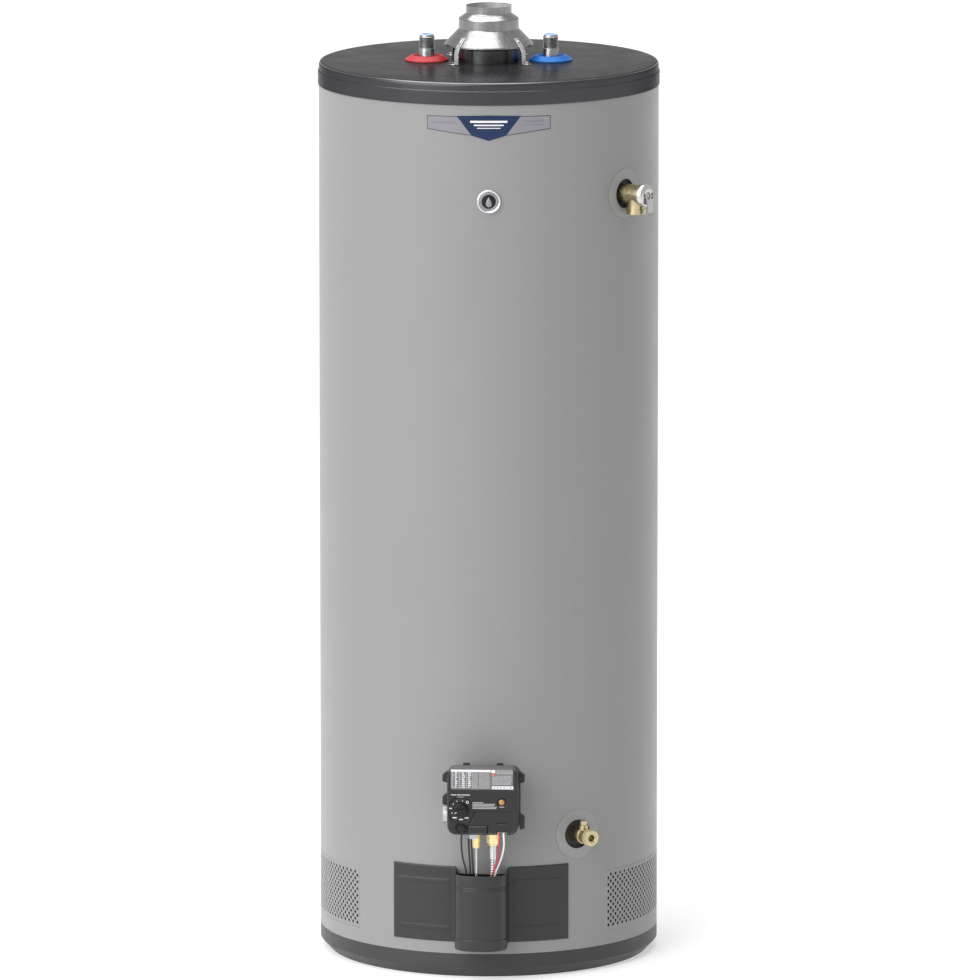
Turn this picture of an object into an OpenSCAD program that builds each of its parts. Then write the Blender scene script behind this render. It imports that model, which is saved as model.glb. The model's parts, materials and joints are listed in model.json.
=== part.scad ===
// Gas-fired storage water heater, 50 US gallon class, atmospheric vent.
// Frame: millimetres, +Z up, the front faces -Y, origin on the floor at the tank's axis.
// An azimuth is measured from the front, positive towards +X.

/* [Jacket] */
// Outside diameter of the painted jacket
jacket_d = 558.8; // [540:0.1:580]
// Height of the jacket's bottom edge above the floor
base_h = 41; // [36:1:48]
// Visible height of the jacket between the base and the cap
jacket_h = 1404; // [1300:1:1450]
// Thickness of the jacket sheet
sheet = 1; // [0.8:0.1:1.2]
// Height of the top cap
cap_h = 37; // [34:1:40]

/* [Tank] */
// Outside diameter of the pressure tank
tank_d = 466; // [450:1:468]
// Thickness of the tank wall
tank_wall = 2.5; // [2:0.1:3]
// Outside diameter of the flue tube
flue_d = 98; // [90:1:98]
// Distance between the hot and cold nipples
nipple_spacing = 203.2; // [200:0.1:206]

/* [Draft hood] */
// Outside diameter of the upper vent collar
vent_small_d = 75; // [74:0.1:76]
// Outside diameter of the lower vent collar
vent_large_d = 99; // [98:0.1:101]
// Outside diameter of the hood's skirt
skirt_d = 146; // [140:1:150]
// Height of the hood's top edge above the cap
hood_h = 91; // [85:1:95]

/* [Front controls] */
// Azimuth of the burner's centre line
burner_az = -3; // [-6:0.5:0]
// Height of the gas control's centre
control_z = 317; // [310:1:325]
// Height of the access cover
cover_h = 126; // [120:1:130]
// Height of the access cover's bottom edge above the floor
cover_z = 61; // [58:1:64]
// How far the wire channel stands out from the jacket
channel_depth = 65; // [60:1:70]

/* [Valves] */
// Azimuth of the relief valve
relief_az = 52.7; // [48:0.1:56]
// Height of the relief valve's axis
relief_z = 1285.5; // [1250:0.5:1300]
// Azimuth of the drain valve
drain_az = 31.4; // [30:0.1:34]
// Height of the drain valve's axis
drain_z = 234; // [228:1:240]

/* [Hidden] */
$fn = 96;

gap = 0.2;                                  // clearance between neighbouring solids
jacket_r = jacket_d / 2;
jacket_top = base_h + jacket_h;
cap_top = jacket_top + cap_h;
tank_r = tank_d / 2;
tank_in_r = tank_r - tank_wall;
tank_bottom = 250;
tank_top = jacket_top - 45;
flue_r = flue_d / 2;
flue_wall = 2;
collar_r = flue_r + 2.2;
nipple_x = nipple_spacing / 2;
nipple_r = 13.3;
nipple_thread_r = 12.8;
nipple_bore_r = 9.7;
nipple_top = cap_top + 42;
spud_r = 17;
side_thread_r = 12.9;
valve_hole_r = 24;
trim_r = 40;
door_span = 30.75;                          // half width of the access cover, in degrees
vent_start = 46.4;                          // first edge of each perforated field, from the burner's line
vent_span = 60;
vent_z0 = 64;
vent_z1 = 166;
channel_x = 3.4;                            // the channel's centre, sideways from the burner's line
channel_w = 86;
channel_z = cover_z - 3;
channel_wall = 2;
cover_r = jacket_r + 0.8;
cover_t = 1.5;
control_x = 9.4;                            // the gas control's centre, sideways from the burner's line
control_back_r = 290;
control_front_r = 375;
control_w = 115.5;
control_top = 53;                           // the cover's top and bottom edges about the control's centre
control_low = -58;
control_tall = control_top - control_low;
control_mid = (control_top + control_low) / 2;
control_seam_r = 345;
tube_turn_z = 110;                          // height at which the tubes and wires enter the chamber
grommet_back_r = tank_r + 4.2;
grommet_front_r = grommet_back_r + 11;

// ---------------------------------------------------------------- placing and drawing helpers

// Local +Z points outward at the azimuth, +Y up and +X to the right as seen from outside.
module outward(az, r, z) {
  rotate([0, 0, az]) translate([0, -r, z]) rotate([90, 0, 0]) children();
}

// A band of a cylinder about the tank's axis.
module band(r0, r1, az0, az1, z0, z1) {
  rotate([0, 0, az0 - 90]) rotate_extrude(angle = az1 - az0)
    translate([r0, z0]) square([r1 - r0, z1 - z0]);
}

module ring(r0, r1, h) {
  difference() {
    cylinder(r = r1, h = h);
    translate([0, 0, -1]) cylinder(r = r0, h = h + 2);
  }
}

module rounded_rect(w, h, r) {
  square([w - 2 * r, h], center = true);
  square([w, h - 2 * r], center = true);
  for (x = [-1, 1], y = [-1, 1]) translate([x * (w / 2 - r), y * (h / 2 - r)]) circle(r = r);
}

module rounded_block(w, h, r, depth) {
  linear_extrude(depth) rounded_rect(w, h, r);
}

module hexagon(across_flats, h) {
  cylinder(r = across_flats / 2 / cos(30), h = h, $fn = 6);
}

// Height above the rim of a dished head with the given radius and crown, at radius r.
function dish_sphere(r, crown) = (r * r + crown * crown) / (2 * crown);
function dish(r_rim, crown, r) =
  let (s = dish_sphere(r_rim, crown)) sqrt(s * s - r * r) - (s - crown);
function dish_points(r0, r1, r_rim, crown, z, steps = 14) =
  [for (i = [0:steps]) let (r = r0 + (r1 - r0) * i / steps) [r, z + dish(r_rim, crown, r)]];

// Catmull-Rom curve through the points of a route, with the given steps for each span.
function spline_point(a, b, c, d, t) =
  0.5 * (2 * b + (c - a) * t + (2 * a - 5 * b + 4 * c - d) * t * t + (3 * b - a - 3 * c + d) * t * t * t);
function spline(p, steps) = [
  for (i = [0:len(p) - 2], k = [0:steps - 1])
    let (a = p[max(i - 1, 0)], d = p[min(i + 2, len(p) - 1)]) spline_point(a, p[i], p[i + 1], d, k / steps),
  p[len(p) - 1]
];
function unit(v) = v / norm(v);

// A tube swept along a route that never runs along X, closed at both ends.
module sweep(path, r, sides) {
  n = len(path);
  rings = [for (i = [0:n - 1])
    let (t = unit(path[min(i + 1, n - 1)] - path[max(i - 1, 0)]),
         side = unit([1, 0, 0] - t[0] * t),
         up = cross(t, side))
    for (k = [0:sides - 1]) path[i] + r * (cos(360 * k / sides) * side + sin(360 * k / sides) * up)];
  walls = [for (i = [0:n - 2], k = [0:sides - 1])
    let (a = i * sides + k, b = i * sides + (k + 1) % sides) [a, a + sides, b + sides, b]];
  ends = [[for (k = [0:sides - 1]) k], [for (k = [sides - 1:-1:0]) (n - 1) * sides + k]];
  polyhedron(points = rings, faces = concat(walls, ends), convexity = 4);
}

// Points of a route are [sideways, out from the axis, up] about the burner's line.
module burner_route(points, r, sides = 8, steps = 3) {
  rotate([0, 0, burner_az]) sweep(spline([for (p = points) [p[0], -p[1], p[2]]], steps), r, sides);
}

// The same frame as the routes, for solid pieces.
module burner_frame() { rotate([0, 0, burner_az]) children(); }

// The gas control's own frame: origin at its centre on its back face.
module control_frame(r = control_back_r) {
  outward(burner_az, r, control_z) translate([control_x, 0, 0]) children();
}

// ---------------------------------------------------------------- outer shell

chamfer_w = 16;
chamfer_h = 17;
base_wall = 1.5;

module base_pan() {
  color("#454547") rotate_extrude() polygon([
    [0, 0], [jacket_r - chamfer_w, 0], [jacket_r, chamfer_h], [jacket_r, base_h],
    [jacket_r - sheet - gap, base_h], [jacket_r - sheet - gap, base_h + 14],
    [jacket_r - sheet - gap - base_wall, base_h + 14],
    [jacket_r - sheet - gap - base_wall, chamfer_h + 1],
    [jacket_r - chamfer_w - 1, base_wall], [0, base_wall]
  ]);
}

module jacket() {
  color("#9c9c9b") difference() {
    translate([0, 0, base_h]) ring(jacket_r - sheet, jacket_r, jacket_h + 15);
    outward(relief_az, jacket_r - 10, relief_z) cylinder(r = valve_hole_r, h = 20);
    outward(drain_az, jacket_r - 10, drain_z) cylinder(r = valve_hole_r, h = 20);
    outward(burner_az, jacket_r - 10, control_z) cylinder(r = 20, h = 20);
    burner_frame() band(jacket_r - 5, jacket_r + 5, -24, 24, 75, 175);
    for (side = [-1, 1]) vent_window(side, 0);
  }
}

module vent_window(side, inset) {
  start = side > 0 ? vent_start : -vent_start - vent_span;
  burner_frame() band(jacket_r - sheet - (inset > 0 ? 0 : 4), jacket_r + (inset > 0 ? 0 : 4),
    start + inset, start + vent_span - inset, vent_z0 + inset, vent_z1 - inset);
}

vent_gap = 0.05;
module left_vent_screen() { color("#9c9c9b") vent_window(-1, vent_gap); }
module right_vent_screen() { color("#9c9c9b") vent_window(1, vent_gap); }

module top_cap() {
  skirt_in = jacket_r + 0.3;
  skirt_out = jacket_r + 1.6;
  rim_z = cap_top;
  color("#464649") difference() {
    rotate_extrude() polygon([
      [skirt_in, jacket_top], [skirt_out, jacket_top], [skirt_out, jacket_top + 22],
      [skirt_out - 1.4, jacket_top + 23.5], [jacket_r - 0.2, rim_z - 5.4], [jacket_r - 1.3, rim_z - 2.2],
      [jacket_r - 3.4, rim_z - 0.5], [jacket_r - 6, rim_z], [0, rim_z],
      [0, rim_z - 2], [jacket_r - 6.5, rim_z - 2], [jacket_r - 3, rim_z - 4.2],
      [jacket_r - 1.6, jacket_top + 24],
      [skirt_in, jacket_top + 21.5]
    ]);
    translate([0, 0, rim_z - 10]) cylinder(r = collar_r + gap, h = 20);
    for (side = [-1, 1]) translate([side * nipple_x, 0, rim_z - 10]) cylinder(r = nipple_r + gap, h = 20);
  }
}

// ---------------------------------------------------------------- insulation and tank

head_crown = 43;
head_t = 3;
foam_top = cap_top - 2 - gap;

module valve_wells(extra) {
  outward(relief_az, tank_r - 20, relief_z) cylinder(r = valve_hole_r + extra, h = 100);
  outward(drain_az, tank_r - 20, drain_z) cylinder(r = valve_hole_r + extra, h = 100);
  outward(burner_az, tank_r - 20, control_z) cylinder(r = 20 + extra, h = 100);
}

module foam_insulation() {
  foam_r = jacket_r - sheet - gap;
  color("#d9c389") difference() {
    rotate_extrude() polygon(concat(
      [[tank_r + gap, 190], [foam_r, 190], [foam_r, jacket_top + 14], [jacket_r - 18, jacket_top + 14],
       [jacket_r - 18, foam_top], [collar_r + gap, foam_top]],
      dish_points(collar_r + gap, tank_r + gap, tank_r + gap, head_crown, tank_top + gap)
    ));
    valve_wells(0);
    for (side = [-1, 1]) translate([side * nipple_x, 0, tank_top]) cylinder(r = spud_r + gap, h = 200);
  }
}

module tank_shell() {
  color("#4a4e55") difference() {
    translate([0, 0, tank_bottom]) ring(tank_in_r, tank_r, tank_top - tank_bottom);
    spud_holes();
  }
}

module spud_holes() {
  for (place = [[relief_az, relief_z], [drain_az, drain_z + 40], [burner_az, control_z]])
    outward(place[0], tank_in_r - 10, place[1]) cylinder(r = spud_r + gap / 2, h = 20);
}

module tank_top_head() {
  color("#4a4e55") difference() {
    rotate_extrude() polygon(concat(
      dish_points(flue_r + gap, tank_r, tank_r, head_crown, tank_top),
      [for (i = [14:-1:0]) dish_points(flue_r + gap, tank_in_r, tank_in_r, head_crown, tank_top - head_t)[i]
        + [0, i == 14 ? head_t : 0]]
    ));
    for (side = [-1, 1]) translate([side * nipple_x, 0, tank_top]) cylinder(r = spud_r + gap / 2, h = 60);
  }
}

module tank_bottom_head() {
  rim_r = tank_in_r - gap;
  color("#4a4e55") rotate_extrude() polygon(concat(
    dish_points(flue_r + gap, rim_r, rim_r, head_crown, tank_bottom + 15),
    [[rim_r, tank_bottom]],
    [[rim_r - head_t, tank_bottom]],
    [for (i = [14:-1:0])
      dish_points(flue_r + gap, rim_r - head_t, rim_r, head_crown, tank_bottom + 15 - head_t)[i]]
  ));
}

// The drain's socket stands above the drain opening's centre line by an internal offset.
module tank_spuds() {
  color("#6a6a6c") {
    for (place = [[relief_az, relief_z], [burner_az, control_z]])
      outward(place[0], tank_in_r - 4, place[1]) ring(side_thread_r + 0.1, spud_r, 14);
    for (side = [-1, 1]) translate([side * nipple_x, 0, tank_top + head_crown - 18])
      ring(nipple_r + 0.1, spud_r, 20);
  }
}

module flue_tube() {
  color("#5b5d60") translate([0, 0, tank_bottom + 40])
    ring(flue_r - flue_wall, flue_r, cap_top - 4 - tank_bottom - 40);
}

// A flat strip with angled fins hangs in the flue from a cross rod.
module flue_baffle() {
  strip_w = 78;
  low = tank_bottom + 70;
  high = cap_top - 2;
  pitch = 110;
  color("#77797b") {
    translate([-strip_w / 2, -0.6, low]) cube([strip_w, 1.2, high - low]);
    for (z = [low + 30:pitch:high - 90]) {
      translate([-strip_w / 2 + 8, -0.6, z]) rotate([35, 0, 0]) cube([strip_w - 16, 1.2, 46]);
      translate([-strip_w / 2 + 8, -0.6, z + pitch / 2]) rotate([-35, 0, 0])
        translate([0, 0, -46]) mirror([0, 1, 0]) cube([strip_w - 16, 1.2, 46]);
    }
    translate([-flue_r + 0.5, 0, cap_top - 2.4]) rotate([0, 90, 0]) cylinder(r = 1.6, h = 2 * flue_r - 1);
  }
}

module flue_collar() {
  color("#7b7d80") translate([0, 0, jacket_top]) ring(flue_r + gap, collar_r, cap_top + 21 - jacket_top);
}

// ---------------------------------------------------------------- draft hood

hood_t = 0.9;
hood_top = cap_top + hood_h;
skirt_z = cap_top + 28;
collar_low_z = cap_top + 53;
collar_high_z = cap_top + 70;
neck_z = cap_top + 79;
leg_turn = 2;
leg_foot_r = 83;

module draft_hood() {
  small_r = vent_small_d / 2;
  large_r = vent_large_d / 2;
  wide_r = skirt_d / 2;
  outline = [[wide_r, skirt_z - 2], [wide_r, skirt_z], [large_r, collar_low_z], [large_r, collar_high_z],
             [small_r, neck_z], [small_r, hood_top]];
  color("#c4c6c8") rotate_extrude() polygon(concat(
    outline, [for (i = [len(outline) - 1:-1:0]) outline[i] - [hood_t, i == 0 || i == 5 ? 0 : hood_t * 0.35]]
  ));
}

function leg_azimuths() = [for (k = [0:3]) 45 + 90 * k + leg_turn];

// Each leg is a strap that follows the cone, bends down past the skirt and ends in a foot.
module hood_leg() {
  wide_r = skirt_d / 2;
  t = 1.2;
  top_r = wide_r - 13;
  slope = (collar_low_z - skirt_z) / (wide_r - vent_large_d / 2);
  top_z = skirt_z + slope * (wide_r - top_r);
  lift = 0.5;
  rotate([90, 0, 0]) translate([0, 0, -4.5]) linear_extrude(9) polygon([
    [top_r + lift, top_z + lift], [wide_r + lift + 0.6, skirt_z + lift], [wide_r + 5, skirt_z - 8],
    [leg_foot_r - 4, cap_top + t], [leg_foot_r + 8, cap_top + t], [leg_foot_r + 8, cap_top],
    [leg_foot_r - 4 - t, cap_top], [wide_r + 5 - t, skirt_z - 8.4], [wide_r + 0.3, skirt_z - 2.6],
    [wide_r + 0.3, skirt_z + 0.2], [top_r + 0.2, top_z + 0.1]
  ]);
}

module draft_hood_legs() {
  color("#b9bbbd") for (az = leg_azimuths()) rotate([0, 0, az - 90]) difference() {
    hood_leg();
    translate([leg_foot_r + 2, 0, cap_top - 2]) cylinder(r = 2.1, h = 6);
  }
}

module draft_hood_screws() {
  color("#d5d6d8") for (az = leg_azimuths()) rotate([0, 0, az - 90]) translate([leg_foot_r + 2, 0, cap_top]) {
    cylinder(r = 2, h = 1.5);
    translate([0, 0, 1.3]) hexagon(6.5, 3.2);
  }
}

// ---------------------------------------------------------------- water connections

module nipple() {
  difference() {
    union() {
      translate([0, 0, tank_top + head_crown - 20])
        cylinder(r = nipple_r, h = cap_top + 20 - tank_top - head_crown + 20);
      translate([0, 0, cap_top + 20]) cylinder(r = nipple_thread_r, h = nipple_top - cap_top - 20);
    }
    translate([0, 0, tank_top]) cylinder(r = nipple_bore_r, h = 200);
  }
}

module hot_nipple() { color("#9a9c9f") translate([-nipple_x, 0, 0]) nipple(); }
module cold_nipple() { color("#9a9c9f") translate([nipple_x, 0, 0]) nipple(); }

// A shallow cone with a turned-in lip around the nipple.
module colour_ring() {
  translate([0, 0, cap_top]) rotate_extrude() polygon([
    [nipple_r + gap, 0], [36.2, 0], [36.2, 2], [26.4, 8.4], [24.8, 9], [23.4, 8.4],
    [20.5, 4.6], [nipple_r + gap, 3.6]
  ]);
}

module hot_ring() { color("#d8474c") translate([-nipple_x, 0, 0]) colour_ring(); }
module cold_ring() { color("#1768d8") translate([nipple_x, 0, 0]) colour_ring(); }

liner_r = nipple_bore_r - 0.1;
module liner(low) {
  translate([0, 0, low]) ring(liner_r - 1.5, liner_r, nipple_top - low);
  translate([0, 0, nipple_top]) ring(liner_r - 1.5, liner_r + 1.6, 1.6);
}

module hot_nipple_liner() { color("#cfe3f2") translate([-nipple_x, 0, 0]) liner(tank_top + head_crown - 12); }
module dip_tube() { color("#cfe3f2") translate([nipple_x, 0, 0]) liner(430); }

module anode_rod() {
  hang_z = tank_top + head_crown - 19;
  color("#a7a9a8") translate([-nipple_x, 0, 0]) {
    translate([0, 0, 480]) cylinder(r = 10.5, h = tank_top - 20 - 480);
    cylinder_from(tank_top - 21, hang_z + 1, 3);
    translate([-liner_r, -1.5, hang_z]) cube([2 * liner_r, 3, 3]);
  }
}

module cylinder_from(z0, z1, r) { translate([0, 0, z0]) cylinder(r = r, h = z1 - z0); }

// ---------------------------------------------------------------- badges

badge_top = jacket_top - 18;
badge_lift = 0.1;

// Wraps a flat outline, drawn in x and height, onto the jacket.
module wrapped(r0, r1) {
  intersection() {
    ring_band(r0, r1);
    rotate([90, 0, 0]) linear_extrude(400) children();
  }
}

module ring_band(r0, r1) {
  translate([0, 0, 1200]) ring(r0, r1, 260);
}

module name_badge() {
  half = 100;
  color("#b4b3b8") wrapped(jacket_r + badge_lift, jacket_r + badge_lift + 0.4)
    polygon([[-half, badge_top], [half, badge_top], [half, badge_top - 22], [30, badge_top - 31],
             [-30, badge_top - 31], [-half, badge_top - 22]]);
}

module badge_shield() {
  color("#22355f") wrapped(jacket_r + badge_lift + 0.45, jacket_r + badge_lift + 0.85)
    polygon([[-52, badge_top + 0.6], [0, badge_top + 2], [52, badge_top + 0.6], [28, badge_top - 31],
             [0, badge_top - 39.5], [-28, badge_top - 31]]);
}

emblem_z = 1288;
module round_emblem() {
  color("#d8d9dc") difference() {
    outward(0, jacket_r - 2, emblem_z) rotate_extrude()
      polygon([[0, 0], [19.4, 0], [19.4, 5], [18.6, 5.6], [16.4, 5.6], [15.6, 4.4], [0, 4.4]]);
    translate([0, 0, emblem_z - 30]) cylinder(r = jacket_r + badge_lift, h = 60);
  }
}

module trim_ring(az, z) {
  difference() {
    intersection() {
      translate([0, 0, z - 60]) ring(jacket_r + badge_lift, jacket_r + 1, 120);
      outward(az, jacket_r - 30, z) cylinder(r = trim_r, h = 60);
    }
    outward(az, jacket_r - 40, z) cylinder(r = valve_hole_r, h = 80);
  }
}

module relief_trim_ring() { color("#97999a") trim_ring(relief_az, relief_z); }
module drain_trim_ring() { color("#97999a") trim_ring(drain_az, drain_z); }

// ---------------------------------------------------------------- relief valve, in its outward frame

relief_back = tank_in_r - 6;                // radius at which the valve's inlet ends
relief_axis = jacket_r + 22;                // radius of the outlet's axis
relief_body_r = 16;
outlet_r = 14.6;
outlet_len = 31.5;
outlet_bore_r = 12.1;
outlet_bore_y = -17.5;                      // height at which the outlet's bore starts
bonnet_start = jacket_r + 35.5;
bonnet_end = jacket_r + 46.5;
bonnet_r = 19;
pin_out = 3.3;                              // distance of the lever's pin from the bonnet
stem_r = 2.4;
lever_pin_r = 1.25;

module relief_frame() { outward(relief_az, 0, relief_z) children(); }

// The temperature probe reaches into the tank from a bar across the valve's inlet.
module relief_valve_body() {
  color("#b79a55") relief_frame() {
    translate([0, 0, 150]) cylinder(r = 4, h = relief_back + 20 - 150);
    translate([-9.5, -1.5, relief_back + 8]) cube([19, 3, 12]);
  }
  color("#b79a55") relief_frame() difference() {
    union() {
      translate([0, 0, relief_back]) cylinder(r = side_thread_r, h = jacket_r - 16 - relief_back);
      translate([0, 0, jacket_r - 16]) hexagon(33, 11);
      translate([0, 0, jacket_r - 5.5]) cylinder(r = relief_body_r, h = bonnet_start - jacket_r + 5.5);
      translate([0, 0, relief_axis]) rotate([90, 0, 0]) cylinder(r = outlet_r, h = outlet_len - 6);
      translate([0, -outlet_len + 8, relief_axis]) rotate([90, 0, 0]) cylinder(r = outlet_r + 1.4, h = 8);
    }
    translate([0, 0, relief_back - 1]) cylinder(r = 9, h = jacket_r - relief_back + 1);
    translate([0, 0, jacket_r - 0.3]) cylinder(r = 12.5, h = bonnet_start - jacket_r + 2);
    translate([0, outlet_bore_y, relief_axis]) rotate([90, 0, 0]) cylinder(r = outlet_bore_r, h = 40);
    translate([0, 0, relief_axis]) rotate([90, 0, 0]) cylinder(r = 8, h = 20);
    translate([0, 0, bonnet_start]) cylinder(r = bonnet_r + 0.2, h = 30);
  }
}

module relief_valve_bonnet() {
  dome = bonnet_end - bonnet_start;
  color("#c9c7c0") relief_frame() translate([0, 0, bonnet_start]) rotate_extrude() polygon([
    [stem_r + 0.3, dome], [bonnet_r - 8, dome], [bonnet_r - 3.8, dome - 1], [bonnet_r - 1.4, dome - 3.4],
    [bonnet_r - 0.2, dome - 7], [bonnet_r, 2.4], [bonnet_r, 0.1],
    [12.4, 0.1], [12.4, dome - 4], [10, dome - 2], [stem_r + 0.3, dome - 2]
  ]);
}

module relief_valve_spring() {
  turns = 5;
  per_turn = 12;
  coil_r = 8.6;
  wire_r = 1.2;
  length = bonnet_end - 3.4 - (jacket_r + 6.5) - 2 * wire_r;
  start = jacket_r + 6.5 + wire_r;
  path = [for (i = [0:turns * per_turn])
    let (a = 360 * i / per_turn) [coil_r * cos(a), coil_r * sin(a), start + length * i / (turns * per_turn)]];
  color("#8c8e90") relief_frame() coil(path, wire_r, 6);
}

// A tube along a coil about the local Z axis.
module coil(path, r, sides) {
  n = len(path);
  rings = [for (i = [0:n - 1])
    let (t = unit(path[min(i + 1, n - 1)] - path[max(i - 1, 0)]))
    let (side = unit(cross(t, [0, 0, 1])), up = cross(t, side))
    for (k = [0:sides - 1]) path[i] + r * (cos(360 * k / sides) * side + sin(360 * k / sides) * up)];
  walls = [for (i = [0:n - 2], k = [0:sides - 1])
    let (a = i * sides + k, b = i * sides + (k + 1) % sides) [a, a + sides, b + sides, b]];
  ends = [[for (k = [0:sides - 1]) k], [for (k = [sides - 1:-1:0]) (n - 1) * sides + k]];
  polyhedron(points = rings, faces = concat(walls, ends), convexity = 8);
}

pin_r_out = bonnet_end + pin_out;

// The stem carries the sealing disc inside and the lever's pin outside.
module relief_valve_stem() {
  color("#b79a55") relief_frame() difference() {
    union() {
      translate([0, 0, jacket_r + 2]) cylinder(r = stem_r, h = pin_r_out + 3 - jacket_r - 2);
      translate([0, 0, jacket_r]) cylinder(r = 11.5, h = 3);
    }
    translate([-5, 0, pin_r_out]) rotate([0, 90, 0]) cylinder(r = lever_pin_r, h = 10);
  }
}

module relief_lever_pin() {
  color("#dcdcd8") relief_frame() translate([-8, 0, pin_r_out]) rotate([0, 90, 0]) {
    cylinder(r = lever_pin_r, h = 16);
    translate([0, 0, -1.2]) cylinder(r = 2.2, h = 1.2);
    translate([0, 0, 16]) cylinder(r = 2.2, h = 1.2);
  }
}

// Two cam ears ride on the pin and a strap hangs below them.
module relief_lever() {
  strap_w = 15;
  strap_len = 28;
  ear_t = 1.5;
  color("#c3c4c4") relief_frame() translate([0, 0, pin_r_out]) {
    for (side = [-1, 1]) difference() {
      translate([side * (strap_w - ear_t) / 2 - ear_t / 2, 0, 0]) rotate([0, 90, 0]) {
        cylinder(r = 3, h = ear_t);
        translate([-0.9, 0, 0]) mirror([1, 0, 0]) translate([-1.9, -2.2, 0]) cube([3.8, 7.4, ear_t]);
        translate([-1.5, -12, 0]) cube([3, 12, ear_t]);
      }
      translate([-20, 0, 0]) rotate([0, 90, 0]) cylinder(r = lever_pin_r + 0.05, h = 40);
    }
    translate([-strap_w / 2, -strap_len, 1]) cube([strap_w, strap_len - 4.5, 1.6]);
    translate([-strap_w / 2, -strap_len - 1.5, 1])
      rotate([-24, 0, 0]) translate([0, -5, 0]) cube([strap_w, 6.5, 1.6]);
  }
}

// ---------------------------------------------------------------- drain valve, in its outward frame

drain_back = tank_r - 2;
drain_axis = jacket_r + 18;                 // radius of the operating stem's axis
drain_barrel_r = 13.2;
drain_end = jacket_r + 45;
ball_r = 10;
hose_r = 13.5;
drain_bore_r = 5.5;

module drain_frame() { outward(drain_az, 0, drain_z) children(); }

module drain_valve_body() {
  color("#b89c56") drain_frame() difference() {
    union() {
      translate([0, 0, drain_back]) cylinder(r = 12, h = jacket_r - drain_back);
      translate([0, 0, jacket_r - 14]) hexagon(27, 9);
      translate([0, 0, jacket_r - 5.5]) cylinder(r = drain_barrel_r, h = 35);
      translate([0, 0, jacket_r + 20]) cylinder(r = 11.8, h = drain_end - jacket_r - 20);
      translate([0, 0, drain_end - 10]) cylinder(r = hose_r, h = 10);
      translate([0, 0, drain_axis]) rotate([-90, 0, 0]) cylinder(r = 7.5, h = 17.5);
    }
    translate([0, 0, drain_back - 1]) cylinder(r = drain_bore_r, h = 200);
    translate([0, 0, drain_axis]) sphere(r = ball_r + 0.3);
    translate([0, 0, drain_axis]) rotate([-90, 0, 0]) cylinder(r = 4.05, h = 30);
    translate([0, 0, drain_end - 1.5]) cylinder(r = 7.5, h = 10);
  }
}

module drain_valve_ball() {
  color("#c9cacc") drain_frame() translate([0, 0, drain_axis]) difference() {
    sphere(r = ball_r);
    translate([-20, 0, 0]) rotate([0, 90, 0]) cylinder(r = 4.5, h = 40);
    rotate([-90, 0, 0]) translate([0, 0, 8]) cylinder(r = 6, h = 8);
  }
}

module drain_valve_stem() {
  color("#c2a65c") drain_frame() translate([0, 0, drain_axis]) rotate([-90, 0, 0]) difference() {
    union() {
      translate([0, 0, 8]) cylinder(r = 4, h = 10);
      translate([0, 0, 17.85]) cylinder(r = 5.8, h = 7.15);
    }
    translate([-8, -0.8, 22.5]) cube([16, 1.6, 5]);
  }
}

// ---------------------------------------------------------------- gas control

inlet_bore_r = 9.2;
inlet_y = -34;
inlet_reach = 67;
knob_x = -35.6;
knob_y = -16.3;
knob_r = 12;
lens_x = 31.3;
lens_y = -3;
button_x = -35.2;
button_y = -46;
button_r = 5.5;
front = control_front_r - control_back_r;
seam = control_seam_r - control_back_r;
corner_r = 14;
shell_t = 2.2;
port_x = [-12.6, 14.4];                     // pilot and burner outlets, sideways from the control's centre
port_out = [40, 32];                        // and outward from its back face
port_r = [7, 9];

module gas_control_shank() {
  color("#9fa1a3") {
    outward(burner_az, 60, control_z) cylinder(r = 5.5, h = tank_in_r - 6 - 60);
    outward(burner_az, tank_in_r - 7, control_z) {
      cylinder(r = side_thread_r, h = control_back_r - tank_in_r + 7);
      translate([0, 0, jacket_r + 2 - tank_in_r + 7]) hexagon(34, 8);
    }
  }
}

module gas_control_body() {
  color("#b5b7b8") control_frame() difference() {
    union() {
      translate([0, -1.5, 0]) rounded_block(92, 85, 8, 46);
      translate([-40, inlet_y, 30]) rotate([0, -90, 0]) cylinder(r = 15, h = inlet_reach - 40);
      for (i = [0, 1]) translate([port_x[i], -40, port_out[i]]) rotate([90, 0, 0])
        cylinder(r = port_r[i], h = 22);
    }
    translate([-inlet_reach + 22, inlet_y, 30]) rotate([0, -90, 0]) cylinder(r = inlet_bore_r, h = 40);
  }
}

// Black housing around the casting, with the clips that hold the cover.
module gas_control_housing() {
  depth = 30;
  back = seam - depth;
  w = 119;
  top = 47;
  low = -56;
  h = top - low;
  mid = (top + low) / 2;
  color("#232325") control_frame() {
    difference() {
      translate([0, mid, back]) rounded_block(w, h, corner_r, depth);
      translate([0, mid, back - 1])
        rounded_block(w - 2 * shell_t, h - 2 * shell_t, corner_r - shell_t, depth + 2);
      translate([-w / 2 - 5, inlet_y, 30]) rotate([0, 90, 0]) cylinder(r = 15.5, h = 20);
      translate([-48, low - 5, back - 1]) cube([96, 12, depth + 2]);
    }
    for (x = [-28, 27]) translate([x - 5.5, top - 0.5, seam - 12]) cube([11, 8, 11.5]);
    for (side = [-1, 1]) translate([side * (w / 2 + 2), 32, seam - 14]) clip(side, 19);
    translate([-w / 2 - 2, -5, seam - 14]) clip(-1, 21);
    translate([w / 2 + 2, -41, seam - 14]) clip(1, 27);
  }
}

module clip(side, tall) {
  translate([side * 1.5 - 4, -tall / 2, 0]) linear_extrude(13)
    polygon(side > 0
      ? [[0, 0], [8, 2.5], [8, tall - 6], [0, tall]]
      : [[8, 0], [0, 2.5], [0, tall - 6], [8, tall]]);
}

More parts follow.
